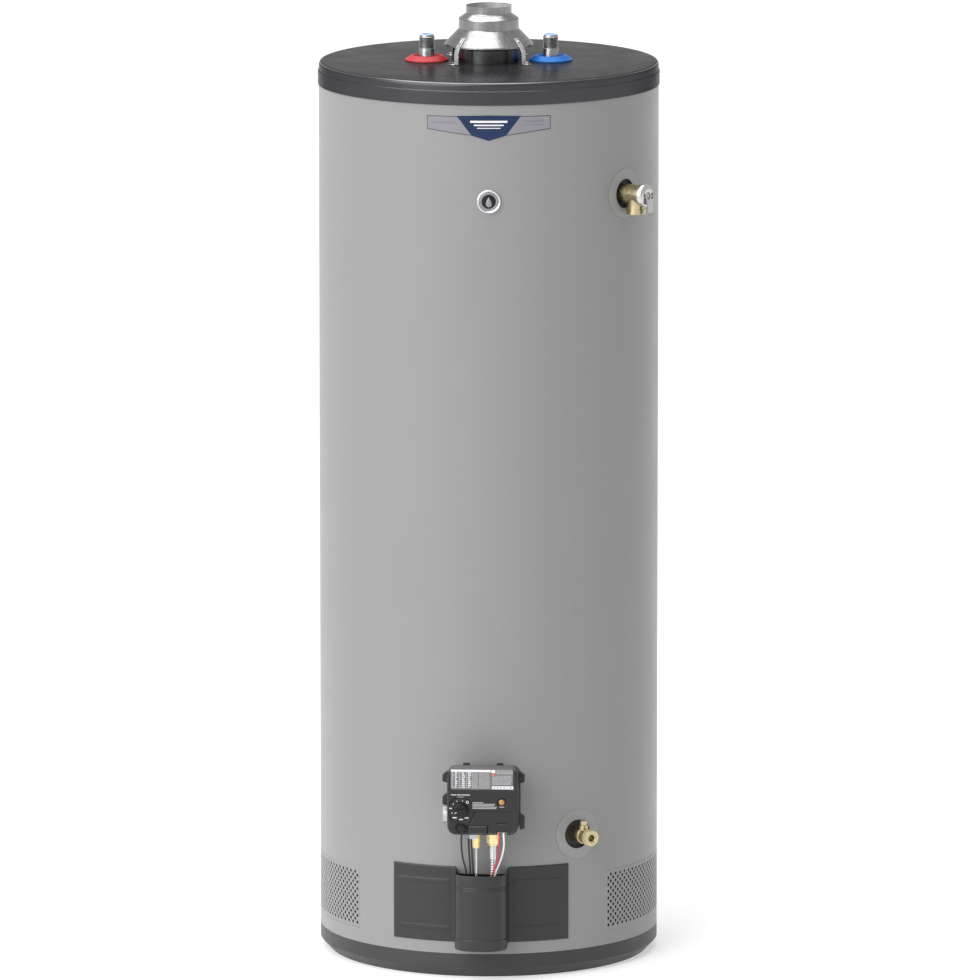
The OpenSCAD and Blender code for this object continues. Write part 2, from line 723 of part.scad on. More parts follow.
wire_notch_x = 31.5;
module gas_control_cover() {
  depth = front - seam;
  color("#3f3f41") control_frame() difference() {
    union() {
      difference() {
        translate([0, control_mid, seam + gap]) rounded_block(control_w, control_tall, corner_r, depth - gap);
        translate([0, control_mid, seam - 1])
          rounded_block(control_w - 2 * shell_t, control_tall - 2 * shell_t,
                        corner_r - shell_t, depth - shell_t + 1);
      }
      translate([-8.6, -49, front - 0.5]) rounded_block(36, 16, 2, 2);
    }
    translate([knob_x, knob_y, seam]) cylinder(r = 4.1, h = depth + 5);
    translate([lens_x, lens_y, seam]) cylinder(r = 4.8, h = depth + 5);
    translate([button_x, button_y, seam]) cylinder(r = button_r + 0.2, h = depth + 5);
    translate([wire_notch_x - 9, control_low - 2, seam - 1]) cube([18, 12, depth + 5]);
    translate([-40, control_low - 2, seam - 1]) cube([40, 6, depth - 6]);
  }
}

module control_label_plate() {
  color("#a3a4a5") control_frame(control_front_r) translate([-0.5, 35, 0.05]) rounded_block(103, 34, 2, 0.6);
}

module temperature_knob() {
  color("#1d1d1f") control_frame(control_front_r) translate([knob_x, knob_y, 0]) {
    translate([0, 0, -20]) cylinder(r = 4.05, h = 21);
    translate([0, 0, 0.4]) cylinder(r = knob_r, h = 4);
    translate([0, 0, 4.4]) cylinder(r = knob_r - 1.5, h = 3);
    translate([-knob_r + 1.6, -1.8, 7.4]) cube([2 * knob_r - 3.2, 3.6, 3.6]);
  }
}

module igniter_button() {
  color("#171719") control_frame(control_front_r) translate([button_x, button_y, -14]) {
    cylinder(r = 3, h = 12);
    translate([0, 0, 11]) cylinder(r = button_r, h = 6.5);
  }
}

module status_lens() {
  color("#d99a2b") control_frame(control_front_r) translate([lens_x, lens_y, -4]) {
    cylinder(r = 4.7, h = 4.6);
    translate([0, 0, 4.5]) cylinder(r1 = 4.4, r2 = 2.6, h = 1.4);
  }
}

connector_low = control_low - 12;

module wire_connector() {
  color("#e9e9ee") control_frame() translate([-22.6, connector_low, 47.5]) cube([12, 15.6, 9]);
}

// ---------------------------------------------------------------- tubes and wires

nut_low = control_z - 62 - 26;
tube_top = control_z - 62;                  // where the tubes leave the control's ports
pilot_x = control_x + port_x[0];
burner_x = control_x + port_x[1];
pilot_out = control_back_r + port_out[0];
burner_out = control_back_r + port_out[1];
chamber_reach = 190;

module pilot_tube() {
  color("#c8c8c6") burner_route([
    [pilot_x, pilot_out, tube_top], [pilot_x, pilot_out, 215], [pilot_x, pilot_out, 170], [pilot_x, 327, 140],
    [pilot_x, 312, 119], [pilot_x, 290, tube_turn_z], [pilot_x, 250, tube_turn_z], [pilot_x, 180, tube_turn_z]
  ], 2, 10);
}

module burner_tube() {
  color("#c9cac8") burner_route([
    [burner_x, burner_out, tube_top], [burner_x, burner_out, 210], [burner_x, burner_out, 160],
    [burner_x, 318, 133], [burner_x, 305, 116], [burner_x, 284, tube_turn_z],
    [burner_x, 250, tube_turn_z], [burner_x, 180, tube_turn_z]
  ], 5.5, 12);
}

module tube_nuts() {
  color("#c8a95a") burner_frame() {
    translate([pilot_x, -pilot_out, nut_low]) difference() {
      hexagon(11, tube_top - nut_low - gap);
      translate([0, 0, -1]) cylinder(r = 2.1, h = 60);
    }
    translate([burner_x, -burner_out, nut_low + 6]) difference() {
      union() {
        hexagon(18, tube_top - nut_low - 6 - gap);
        translate([0, 0, -3]) cylinder(r = 8, h = 5);
      }
      translate([0, 0, -4]) cylinder(r = 5.6, h = 60);
    }
  }
}

wire_r = 1.5;
wire_grommet_x = [-22, -13.5, -9, 33, 37.5];

module igniter_wire() {
  color("#1a1a1b") burner_route([
    [-26, 344, 258], [-27, 343, 240], [-25, 339, 215], [-20, 333, 192], [-19, 327.5, 168], [-20, 322, 142],
    [-21, 310, 121], [-22, 290, tube_turn_z], [-22, 250, tube_turn_z], [-22, 190, tube_turn_z]
  ], wire_r);
}

module sensor_wires() {
  color("#1a1a1b") for (k = [0, 1]) burner_route([
    [-10.5 - 4.7 * (1 - k), 342, 246.8], [-10 - 4.7 * (1 - k), 341, 232], [-9 - 4.6 * (1 - k), 337, 210],
    [-8 - 4.6 * (1 - k), 333, 190], [-8.4 - 4.5 * (1 - k), 326, 165], [-9 - 4.5 * (1 - k), 320, 141],
    [-9 - 4.5 * (1 - k), 309, 120], [-9 - 4.5 * (1 - k), 288, tube_turn_z],
    [-9 - 4.5 * (1 - k), 250, tube_turn_z], [-9 - 4.5 * (1 - k), 190, tube_turn_z]
  ], wire_r);
}

module red_wire() {
  color("#b8323c") burner_route([
    [36.5, 372, 263], [36.3, 371, 252], [35.2, 362, 236], [32.5, 349, 215], [27, 338, 197], [23, 333.2, 184],
    [21.5, 332.5, 168], [22.5, 331, 150], [27, 326, 133], [31.5, 312, 118], [33, 288, tube_turn_z],
    [33, 250, tube_turn_z], [33, 190, tube_turn_z]
  ], wire_r);
}

module white_wire() {
  color("#ececea") burner_route([
    [43.5, 372, 263], [44, 371, 252], [43.8, 364, 240], [40.5, 352, 222], [34.5, 340, 204], [28.5, 332, 188],
    [26, 331.5, 170], [27.5, 330.5, 152], [31.5, 325, 134], [36, 311, 118], [37.5, 287, tube_turn_z],
    [37.5, 250, tube_turn_z], [37.5, 190, tube_turn_z]
  ], wire_r);
}

// ---------------------------------------------------------------- access cover

channel_round = 36;                         // depth of the channel's elliptical front
// Plan outline of the channel's outer face, grown inwards by the inset.
function channel_outline(inset) =
  let (half = channel_w / 2 - inset, straight = jacket_r + channel_depth - channel_round,
       back = inset > 0 ? jacket_r - 30 : jacket_r - 10)
  concat([[channel_x - half, -back]],
    [for (k = [0:18]) let (a = 180 - 10 * k)
      [channel_x + half * cos(a), -straight - (channel_round - inset) * sin(a)]],
    [[channel_x + half, -back]]);

module wire_channel() {
  color("#4b4b4d") burner_frame() difference() {
    translate([0, 0, channel_z]) linear_extrude(cover_h) polygon(channel_outline(0));
    cylinder(r = cover_r, h = 400);
    translate([0, 0, channel_z + channel_wall]) linear_extrude(cover_h)
      polygon(channel_outline(channel_wall));
  }
}

module access_cover() {
  panel_lift = 0.8;
  panel_low = 21;
  panel_high = 103;
  color("#4b4b4d") burner_frame() difference() {
    union() {
      band(cover_r, cover_r + cover_t, -door_span, door_span, cover_z, cover_z + cover_h);
      for (edge = [[-door_span + 4, -7.5], [7.5, door_span - 4]])
        band(cover_r + cover_t - 0.2, cover_r + cover_t + panel_lift, edge[0], edge[1],
          cover_z + panel_low, cover_z + panel_high);
    }
    translate([channel_x - channel_w / 2 - 0.1, -400, 0]) cube([channel_w + 0.2, 200, 400]);
  }
}

// ---------------------------------------------------------------- inner door, chamber and burner

module inner_door() {
  door_r = tank_r + 2.4;
  color("#a9abab") burner_frame() {
    difference() {
      band(door_r, door_r + 1.5, -21, 21, 76, 174);
      translate([-30, -tank_r - 10, tube_turn_z - 9]) cube([74, 30, 18]);
      outward(13.5, tank_r - 10, 150) cylinder(r = 7, h = 40);
    }
    for (side = [-1, 1]) outward(side * 18.5, door_r + 1.4, 125) hexagon(8, 4);
    outward(13.5, door_r, 150) rotate_extrude()
      polygon([[7, 0.6], [10.5, 0.6], [10.5, 4], [7, 4], [7, 3.2], [8.2, 3.2], [8.2, 2.4], [7, 2.4]]);
  }
}

module sight_glass() {
  color("#8fb0b4") burner_frame() outward(13.5, tank_r + 2.4 + 2.45, 150) cylinder(r = 8.15, h = 0.7);
}

module pipe_grommet() {
  color("#2b2b2c") burner_frame() difference() {
    translate([-34, -grommet_front_r, tube_turn_z - 12])
      cube([82, grommet_front_r - grommet_back_r + 0.6, 24]);
    translate([0, 0, tube_turn_z - 30]) cylinder(r = grommet_back_r, h = 60);
    for (x = wire_grommet_x) grommet_hole(x, wire_r + 0.1);
    grommet_hole(pilot_x, 2.1);
    grommet_hole(burner_x, 5.6);
  }
}

module grommet_hole(x, r) {
  translate([x, 0, tube_turn_z]) rotate([90, 0, 0]) cylinder(r = r, h = 400);
}

module combustion_chamber() {
  color("#56585b") difference() {
    union() {
      translate([0, 0, 60]) ring(tank_in_r, tank_r, tank_bottom - 60);
      translate([0, 0, 60]) ring(150, tank_in_r + 0.1, 2);
      translate([0, 0, 62]) ring(150, 156, 12);
    }
    burner_frame() band(tank_in_r - 20, tank_r + 20, -17, 17, 85, 165);
    outward(drain_az, tank_in_r - 20, drain_z) cylinder(r = 12.2, h = 60);
  }
}

module main_burner() {
  color("#6b6d70") {
    translate([0, 0, 128]) difference() {
      rotate_extrude() polygon([[0, 0], [20, 0], [108, 14], [112, 20], [108, 26], [0, 30]]);
      for (k = [0:23]) rotate([0, 0, 15 * k]) translate([100, -1, 12]) cube([20, 2, 10]);
    }
    burner_frame() translate([burner_x, 0, tube_turn_z]) {
      translate([0, -20, 0]) rotate([90, 0, 0]) ring(9, 12, 135);
      translate([0, -20, 0]) rotate([90, 0, 0]) cylinder(r = 12, h = 3);
      translate([-6, -34, 8]) cube([12, 12, 14]);
    }
    burner_frame() for (x = [-16, 35]) translate([x - 7, -150, tube_turn_z + 2]) cube([14, 10, 40]);
    for (k = [0:2]) rotate([0, 0, 60 + 120 * k]) translate([60, -3, 62]) cube([6, 6, 74]);
    translate([0, 0, 62]) ring(55, 149, 6);
  }
}

// ---------------------------------------------------------------- nodes

base_pan();
jacket();
left_vent_screen();
right_vent_screen();
top_cap();
foam_insulation();
tank_shell();
tank_top_head();
tank_bottom_head();
tank_spuds();
flue_tube();
flue_baffle();
flue_collar();
draft_hood();
draft_hood_legs();
draft_hood_screws();
hot_nipple();
cold_nipple();
hot_ring();
cold_ring();
hot_nipple_liner();
dip_tube();
anode_rod();
name_badge();
badge_shield();
round_emblem();
relief_valve_body();
relief_valve_bonnet();
relief_valve_spring();
relief_valve_stem();
relief_lever_pin();
relief_lever();
relief_trim_ring();
drain_valve_body();
drain_valve_ball();
drain_valve_stem();
drain_trim_ring();
gas_control_shank();
gas_control_body();
gas_control_housing();
gas_control_cover();
control_label_plate();
temperature_knob();
igniter_button();
status_lens();
wire_connector();
pilot_tube();
burner_tube();
tube_nuts();
igniter_wire();
sensor_wires();
red_wire();
white_wire();
access_cover();
wire_channel();
inner_door();
sight_glass();
pipe_grommet();
combustion_chamber();
main_burner();
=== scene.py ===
import json
import math
import random

import bmesh
import bpy
from mathutils import Matrix, Vector


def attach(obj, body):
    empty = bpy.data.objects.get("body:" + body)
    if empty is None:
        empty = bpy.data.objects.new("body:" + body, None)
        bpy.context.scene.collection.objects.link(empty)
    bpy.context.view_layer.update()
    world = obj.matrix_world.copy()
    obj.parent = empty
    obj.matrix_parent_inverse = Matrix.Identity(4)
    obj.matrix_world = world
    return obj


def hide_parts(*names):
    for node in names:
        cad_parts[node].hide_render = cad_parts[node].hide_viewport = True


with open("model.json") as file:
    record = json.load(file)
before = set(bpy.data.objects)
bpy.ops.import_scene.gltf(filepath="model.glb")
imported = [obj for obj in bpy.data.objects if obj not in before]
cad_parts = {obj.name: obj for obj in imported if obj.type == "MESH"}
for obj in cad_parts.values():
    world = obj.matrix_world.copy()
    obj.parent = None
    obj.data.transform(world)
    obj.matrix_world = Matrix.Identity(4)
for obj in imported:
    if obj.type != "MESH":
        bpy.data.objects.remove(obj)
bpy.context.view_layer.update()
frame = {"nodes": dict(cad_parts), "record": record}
scene = bpy.context.scene
MM = 0.001

# ---- sizes shared with the CAD, in millimetres
JACKET_R = 279.4
BASE_H = 41.0
JACKET_TOP = 1445.0
CAP_TOP = 1482.0
BURNER_AZ = -3.0
RELIEF_AZ, RELIEF_Z = 52.7, 1285.5
DRAIN_AZ, DRAIN_Z = 31.4, 234.0
CONTROL_Z, CONTROL_X = 317.0, 9.4
CONTROL_BACK, CONTROL_SEAM, CONTROL_FRONT = 290.0, 345.0, 375.0
COVER_Z0, COVER_Z1 = 61.0, 187.0
COVER_R = 280.2
DOOR_SPAN = 30.75
VENT_START, VENT_SPAN, VENT_Z0, VENT_Z1 = 46.4, 60.0, 64.0, 166.0
NIPPLE_X = 101.6
CHANNEL_X, CHANNEL_W = 3.4, 86.0


# ---- frames
def outward(az, r, z):
    """Local +Z points outward at the azimuth, +Y up and +X to the right as seen from outside."""
    a = math.radians(az)
    out = Vector((math.sin(a), -math.cos(a), 0))
    side = Vector((math.cos(a), math.sin(a), 0))
    up = Vector((0, 0, 1))
    m = Matrix((side, up, out)).transposed().to_4x4()
    m.translation = out * r + up * z
    return m


def turned(az):
    return Matrix.Rotation(math.radians(az), 4, "Z")


def control(r=CONTROL_BACK):
    return outward(BURNER_AZ, r, CONTROL_Z) @ Matrix.Translation((CONTROL_X, 0, 0))


IDENT = Matrix.Identity(4)


def placed(name, data):
    """Links a new object with this data into the scene."""
    o = bpy.data.objects.new(name, data)
    scene.collection.objects.link(o)
    return o


# ---- materials
def set_inputs(node, inputs):
    """Sets each input to a value, or links it where it is given another node's output."""
    for key, value in inputs.items():
        if isinstance(value, bpy.types.NodeSocket):
            node.id_data.links.new(value, node.inputs[key])
        else:
            node.inputs[key].default_value = value


def add_node(tree, kind, inputs=None):
    made = tree.nodes.new("ShaderNode" + kind)
    set_inputs(made, inputs or {})
    return made


def ramp(tree, amount, *stops):
    """Colours along a value, between two (position, colour) stops."""
    made = add_node(tree, "ValToRGB", {0: amount})
    for mark, (position, colour) in zip(made.color_ramp.elements, stops):
        mark.position = position
        mark.color = (*colour, 1)
    return made.outputs[0]


def noise(tree, coord, scale, detail, rough, stretch=None):
    if stretch:
        coord = add_node(tree, "Mapping", {0: coord, "Scale": stretch}).outputs[0]
    inputs = {"Vector": coord, "Scale": scale, "Detail": detail, "Roughness": rough}
    return add_node(tree, "TexNoise", inputs).outputs["Fac"]


def mixed(tree, amount, under, over):
    """Lays one colour over another by an amount. The upper colour is fixed or comes from a node."""
    over = over if isinstance(over, bpy.types.NodeSocket) else (*over, 1)
    return add_node(tree, "MixRGB", {0: amount, 1: under, 2: over}).outputs[0]


def scaled(colour, factor):
    return tuple(min(1.0, part * factor) for part in colour)


BLACK, WHITE = (0, 0, 0), (1, 1, 1)
DUST_AND_SHEEN_GREY = (0.30, 0.30, 0.305)
SPANGLE_SCALE, DIRT_SCALE, CHIP_SCALE = 160, 38.0, 140.0
GRAIN_DEPTH, COAT_ROUGH = 0.0006, 0.15
looks = {}


def material(name, color, rough=0.45, metal=0.0, drift=0.05, patches=6.0, grain=0.05, fineness=900.0,
             unevenness=0.06, coat=0.0, stretch=None, wear=0.0, wear_color=None, spec=0.5,
             spangle=0.0, clear=0.0, dirt=0.0, tint=1.0, dust_and_sheen=0.0):
    """A painted, moulded or metal surface: colour drift, fine grain, uneven gloss, edge wear, and pale tops
    of dust and painted highlight.
    """
    look = bpy.data.materials.new(name)
    look.use_nodes = True
    tree = look.node_tree
    coord = add_node(tree, "TexCoord").outputs["Object"]
    broad = noise(tree, coord, patches, 4.0, 0.6, stretch)
    paint = ramp(tree, broad, (0.3, scaled(color, 1 - drift)), (0.7, scaled(color, 1 + drift)))
    if spangle:
        cells = add_node(tree, "TexVoronoi", {"Vector": coord, "Scale": SPANGLE_SCALE})
        pick = add_node(tree, "SeparateColor", {0: cells.outputs["Color"]}).outputs[0]
        tone = ramp(tree, pick, (0, scaled(color, 1 - spangle)), (1, scaled(color, 1 + spangle)))
        paint = mixed(tree, 0.5, paint, tone)
    if dirt:
        spots = noise(tree, coord, DIRT_SCALE, 6.0, 0.7)
        paint = mixed(tree, ramp(tree, spots, (0.55, BLACK), (0.78, (dirt,) * 3)), paint, scaled(color, 0.55))
    if wear:
        sharp = add_node(tree, "NewGeometry").outputs["Pointiness"]
        edge = ramp(tree, sharp, (0.53, BLACK), (0.62, (wear,) * 3))
        chips = ramp(tree, noise(tree, coord, CHIP_SCALE, 4.0, 0.7), (0.42, BLACK), (0.62, WHITE))
        worn = add_node(tree, "Math", {0: edge, 1: chips})
        worn.operation = "MULTIPLY"
        paint = mixed(tree, worn.outputs[0], paint, wear_color or scaled(color, 1.8))
    # Upward-facing faces are mixed towards a pale grey: settled dust, and a painted highlight along the tops.
    if dust_and_sheen:
        facing = add_node(tree, "SeparateXYZ", {0: add_node(tree, "NewGeometry").outputs["Normal"]})
        mask = ramp(tree, facing.outputs["Z"], (0.55, BLACK), (0.95, (dust_and_sheen,) * 3))
        paint = mixed(tree, mask, paint, DUST_AND_SHEEN_GREY)
    gloss = add_node(tree, "MapRange", {
        "Value": noise(tree, coord, patches * 4.0, 5.0, 0.6), "From Min": 0.3, "From Max": 0.7,
        "To Min": max(0.03, rough - unevenness), "To Max": min(1.0, rough + unevenness)})
    surface = tree.nodes["Principled BSDF"]
    set_inputs(surface, {
        "Base Color": paint, "Roughness": gloss.outputs[0], "Metallic": metal, "Specular IOR Level": spec,
        "Specular Tint": (tint, tint, tint, 1), "Coat Weight": coat, "Coat Roughness": COAT_ROUGH,
        "Transmission Weight": clear})
    if grain:
        fine = noise(tree, coord, fineness, 3.0, 0.5, stretch)
        relief = add_node(tree, "Bump", {"Height": fine, "Strength": grain, "Distance": GRAIN_DEPTH})
        set_inputs(surface, {"Normal": relief.outputs[0]})
    looks[name] = look
    return look


# Linear colour, roughness and metal, then what differs from the usual: the drift of the colour and the size
# of its patches, the strength and fineness of the grain, and how uneven the gloss is.
material("jacket_paint", (0.218, 0.218, 0.218), 0.36, drift=0.012, patches=2.2, fineness=520,
         unevenness=0.04, spec=0.34)
material("cap_paint", (0.060, 0.059, 0.065), 0.26, 0.75, drift=0.06, patches=5, grain=0.16, fineness=620,
         unevenness=0.05, spec=0.30, tint=0.28, wear=0.3, wear_color=(0.10, 0.10, 0.11))
# Brighter metal for the strip that paints the highlight line on the cap's rim.
material("rim_highlight_steel", (0.15, 0.15, 0.155), 0.22, 0.9, drift=0.15, patches=40)
material("base_paint", (0.029, 0.029, 0.031), 0.42, spec=0.4, grain=0.10, fineness=700, wear=0.5,
         wear_color=(0.14, 0.14, 0.15), dirt=0.12)
material("cover_paint", (0.0235, 0.0235, 0.025), 0.36, spec=0.34, patches=8, grain=0.10, fineness=800,
         wear=0.35, wear_color=(0.13, 0.13, 0.14))
material("foam", (0.52, 0.42, 0.24), 0.95, drift=0.12, patches=30, grain=0.9, fineness=260)
material("tank_enamel", (0.05, 0.06, 0.09), 0.28, 0.2, drift=0.15, patches=12, grain=0.2, fineness=160,
         coat=0.4)
material("spud_steel", (0.30, 0.30, 0.31), 0.42, 1.0, drift=0.1, grain=0.2)
material("flue_steel", (0.19, 0.185, 0.18), 0.48, 1.0, drift=0.2, patches=25, grain=0.25, fineness=300,
         dirt=0.4)
material("collar_steel", (0.115, 0.115, 0.118), 0.27, 1.0, drift=0.06, patches=20, grain=0.04,
         fineness=300, unevenness=0.04, stretch=(1, 1, 12))
material("zinc_dull", (0.40, 0.40, 0.41), 0.5, 0.25, drift=0.2, patches=90, grain=0.1, fineness=300)
material("galvanised", (0.25, 0.252, 0.256), 0.24, 1.0, drift=0.32, patches=170, grain=0.16, fineness=420,
         unevenness=0.08, spangle=0.12, stretch=(1, 1, 0.10))
material("strap_steel", (0.56, 0.562, 0.565), 0.24, 1.0, drift=0.10, patches=90, grain=0.15, fineness=500,
         unevenness=0.10, spangle=0.2)
material("screw_zinc", (0.62, 0.62, 0.60), 0.22, 1.0, drift=0.08, patches=90, grain=0.1)
material("nipple_steel", (0.33, 0.335, 0.34), 0.28, 1.0, drift=0.16, patches=90, grain=0.25, fineness=700,
         unevenness=0.1, dirt=0.3)
material("red_plastic", (0.31, 0.018, 0.022), 0.42, patches=20, fineness=600, spec=0.25)
material("blue_plastic", (0.001, 0.092, 0.34), 0.42, patches=20, fineness=600, spec=0.25)
material("liner_plastic", (0.38, 0.54, 0.74), 0.32, drift=0.04, patches=40, coat=0.3)
material("anode_alloy", (0.45, 0.46, 0.45), 0.6, 1.0, drift=0.12, grain=0.5, fineness=300)
material("badge_silver", (0.195, 0.192, 0.212), 0.45, spec=0.3, patches=30, grain=0.06, fineness=600)
material("badge_line", (0.045, 0.045, 0.05), 0.4)
material("badge_blue", (0.006, 0.018, 0.060), 0.34, drift=0.10, patches=30, fineness=600, spec=0.3)
material("badge_white", (0.62, 0.62, 0.64), 0.4, drift=0.03)
material("badge_grey", (0.150, 0.148, 0.160), 0.4, 0.1)
material("emblem_chrome", (0.72, 0.72, 0.74), 0.16, 1.0, drift=0.04, patches=50, grain=0.04, fineness=500)
material("emblem_silver", (0.24, 0.24, 0.26), 0.38, 0.5, drift=0.06, patches=60, grain=0.08)
material("emblem_dark", (0.010, 0.010, 0.013), 0.35, spec=0.2, drift=0.10, patches=60, grain=0.08)
material("brass", (0.50, 0.425, 0.255), 0.30, 1.0, drift=0.16, patches=55, grain=0.22, fineness=500,
         unevenness=0.10, dirt=0.3)
material("nut_brass", (0.80, 0.665, 0.355), 0.27, 1.0, drift=0.08, patches=70, grain=0.12, fineness=600,
         unevenness=0.08)
material("bonnet_metal", (0.58, 0.565, 0.535), 0.20, 1.0, drift=0.10, patches=50, grain=0.10, fineness=400)
material("spring_steel", (0.30, 0.30, 0.31), 0.35, 1.0, drift=0.08, grain=0.1)
material("lever_steel", (0.44, 0.44, 0.445), 0.28, 1.0, drift=0.10, patches=60, grain=0.15, fineness=500,
         stretch=(1, 1, 0.15))
material("ball_chrome", (0.65, 0.65, 0.66), 0.08, 1.0, drift=0.03, grain=0.02)
material("trim_grey", (0.235, 0.240, 0.235), 0.40, drift=0.03, grain=0.08, fineness=500)
material("control_casting", (0.52, 0.53, 0.535), 0.46, 1.0, drift=0.10, patches=40, grain=0.5,
         fineness=380, unevenness=0.08)
material("housing_plastic", (0.006, 0.006, 0.007), 0.36, drift=0.10, grain=0.20)
# Its pale upward faces are partly dust and partly a painted highlight along the top.
material("control_plastic", (0.0125, 0.0125, 0.0135), 0.42, spec=0.36, patches=20, grain=0.30,
         fineness=1400, unevenness=0.05, wear=0.2, wear_color=(0.05, 0.05, 0.053), dust_and_sheen=0.35)
material("label_plastic", (0.125, 0.125, 0.13), 0.38, patches=40, grain=0.08, fineness=700)
material("mark_white", (0.62, 0.62, 0.64), 0.45, drift=0.03, grain=0.03)
material("mark_grey", (0.34, 0.34, 0.35), 0.45, grain=0.03)
material("mark_orange", (0.42, 0.085, 0.035), 0.45, drift=0.10, grain=0.03)
material("knob_plastic", (0.004, 0.004, 0.0045), 0.34, spec=0.35, drift=0.10, grain=0.15, fineness=1200)
material("lens_amber", (0.37, 0.175, 0.026), 0.20, drift=0.10, patches=200, grain=0.10, coat=0.5)
material("connector_white", (0.52, 0.52, 0.60), 0.32, drift=0.03, coat=0.2)
material("tube_aluminium", (0.62, 0.62, 0.605), 0.34, 1.0, drift=0.08, patches=70, grain=0.2, fineness=500)
material("wire_black", (0.009, 0.009, 0.010), 0.42, drift=0.10, grain=0.08, fineness=700)
material("wire_red", (0.42, 0.030, 0.055), 0.40, drift=0.08, grain=0.08, fineness=700)
material("wire_white", (0.66, 0.66, 0.64), 0.40, drift=0.04, grain=0.08, fineness=700)
material("door_steel", (0.44, 0.45, 0.45), 0.36, 1.0, drift=0.08, patches=30, grain=0.15, fineness=400,
         spangle=0.15)
material("sight_glass", (0.55, 0.66, 0.68), 0.10, drift=0.03, grain=0.02, clear=0.8)
material("grommet_rubber", (0.012, 0.012, 0.013), 0.7, drift=0.12, grain=0.3, fineness=600)
material("chamber_steel", (0.025, 0.025, 0.027), 0.55, 0.8, drift=0.15, patches=15, grain=0.3,
         fineness=250)
material("burner_steel", (0.15, 0.15, 0.155), 0.5, 1.0, drift=0.15, grain=0.3)

SLOT_OF = {s["node"]: s["material_slot"] for s in frame["record"]["subparts"]}
for name, node in frame["nodes"].items():
    node.data.materials.clear()
    node.data.materials.append(looks["strap_steel" if name == "draft_hood_legs" else SLOT_OF[name]])


WELD, MERGE = 0.00002, 0.000004
FLATNESS = 60
BEVEL_ANGLE, SOFTEN_ANGLE = math.radians(30), math.radians(32)


def soften(name, width, segments=2):
    """Rounds the sharp edges of a CAD node with modifiers, which leave its mesh as it is."""
    node = frame["nodes"][name]
    weld = node.modifiers.new("weld", "WELD")
    weld.merge_threshold = WELD
    rounding = node.modifiers.new("bevel", "BEVEL")
    rounding.width = width * MM
    rounding.segments = segments
    rounding.limit_method = "ANGLE"
    rounding.angle_limit = SOFTEN_ANGLE
    rounding.harden_normals = False
    smooth(node)


def smooth(node):
    """Shades a CAD node smooth, with its large faces kept flat."""
    for face in node.data.polygons:
        face.use_smooth = True
    normals = node.modifiers.new("weighted", "WEIGHTED_NORMAL")
    normals.keep_sharp = True
    normals.weight = FLATNESS


# ---- mesh building
def add(name, verts, faces, mat, slot=None, body="heater", place=IDENT, smooth_angle=40, replaces=(),
        bevel=0.0, solidify=None):
    """Makes a piece from points in millimetres in the frame of place."""
    mesh = bpy.data.meshes.new(name)
    build = bmesh.new()
    corners = [build.verts.new((place @ Vector(v)) * MM) for v in verts]
    for f in faces:
        if len(set(f)) >= 3:
            try:
                build.faces.new([corners[i] for i in dict.fromkeys(f)])
            except ValueError:
                pass
    bmesh.ops.remove_doubles(build, verts=build.verts, dist=MERGE)
    loose = [v for v in build.verts if not v.link_faces]
    bmesh.ops.delete(build, geom=loose, context="VERTS")
    bmesh.ops.recalc_face_normals(build, faces=build.faces)
    limit = math.radians(smooth_angle)
    for edge in build.edges:
        if len(edge.link_faces) == 2 and edge.calc_face_angle(0) > limit:
            edge.smooth = False
    for face in build.faces:
        face.smooth = True
    build.to_mesh(mesh)
    build.free()
    piece = placed(name, mesh)
    if solidify:
        shell = piece.modifiers.new("solid", "SOLIDIFY")
        shell.thickness = solidify * MM
        shell.offset = -1
    if bevel:
        rounding = piece.modifiers.new("bevel", "BEVEL")
        rounding.width = bevel * MM
        rounding.segments = 2
        rounding.limit_method = "ANGLE"
        rounding.angle_limit = BEVEL_ANGLE
    mesh.materials.append(looks[mat])
    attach(piece, body)
    if replaces:
        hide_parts(*replaces)
    return piece


def bands(count, n):
    """Faces between rings of n points that follow each other."""
    return [(i + k, i + (k + 1) % n, i + n + (k + 1) % n, i + n + k)
            for i in range(0, count * n, n) for k in range(n)]


class Shape:
    """Collects several closed forms into one piece."""

    def __init__(self):
        self.v, self.f = [], []

    def put(self, verts, faces, place=IDENT):
        k = len(self.v)
        self.v += [tuple(place @ Vector(v)) for v in verts]
        self.f += [[i + k for i in f] for f in faces]
        return self

    def block(self, lo, hi, place=IDENT):
        x0, y0, z0 = lo
        x1, y1, z1 = hi
        v = [(x0, y0, z0), (x1, y0, z0), (x1, y1, z0), (x0, y1, z0),
             (x0, y0, z1), (x1, y0, z1), (x1, y1, z1), (x0, y1, z1)]
        f = [(0, 3, 2, 1), (4, 5, 6, 7), (0, 1, 5, 4), (1, 2, 6, 5), (2, 3, 7, 6), (3, 0, 4, 7)]
        return self.put(v, f, place)

    def lathe(self, profile, segs=48, place=IDENT, closed=False, dent=None):
        """Turns (radius, height) points about local Z. A closed profile is a loop; dent may vary a radius."""
        v, f = [], []
        n = len(profile)
        for k in range(segs):
            a = 2 * math.pi * k / segs
            row = [(dent(r, a), z) for r, z in profile] if dent else profile
            v += [(r * math.cos(a), r * math.sin(a), z) for r, z in row]
        last = n if closed else n - 1
        for k in range(segs):
            k2 = (k + 1) % segs
            for i in range(last):
                j = (i + 1) % n
                f.append((k * n + i, k2 * n + i, k2 * n + j, k * n + j))
        return self.put(v, f, place)

    def prism(self, outline, z0, z1, place=IDENT):
        n = len(outline)
        v = [(x, y, z0) for x, y in outline] + [(x, y, z1) for x, y in outline]
        f = [tuple(range(n))[::-1], tuple(range(n, 2 * n))]
        f += [(i, (i + 1) % n, (i + 1) % n + n, i + n) for i in range(n)]
        return self.put(v, f, place)

    def make(self, name, mat, slot=None, **kw):
        return add(name, self.v, self.f, mat, slot, **kw)


def polar(r, count):
    """Points around a circle."""
    angles = [2 * math.pi * k / count for k in range(count)]
    return [(r * math.cos(a), r * math.sin(a)) for a in angles]


def raised(base, points):
    """A profile whose heights are given from a base height."""
    return [(r, base + h) for r, h in points]


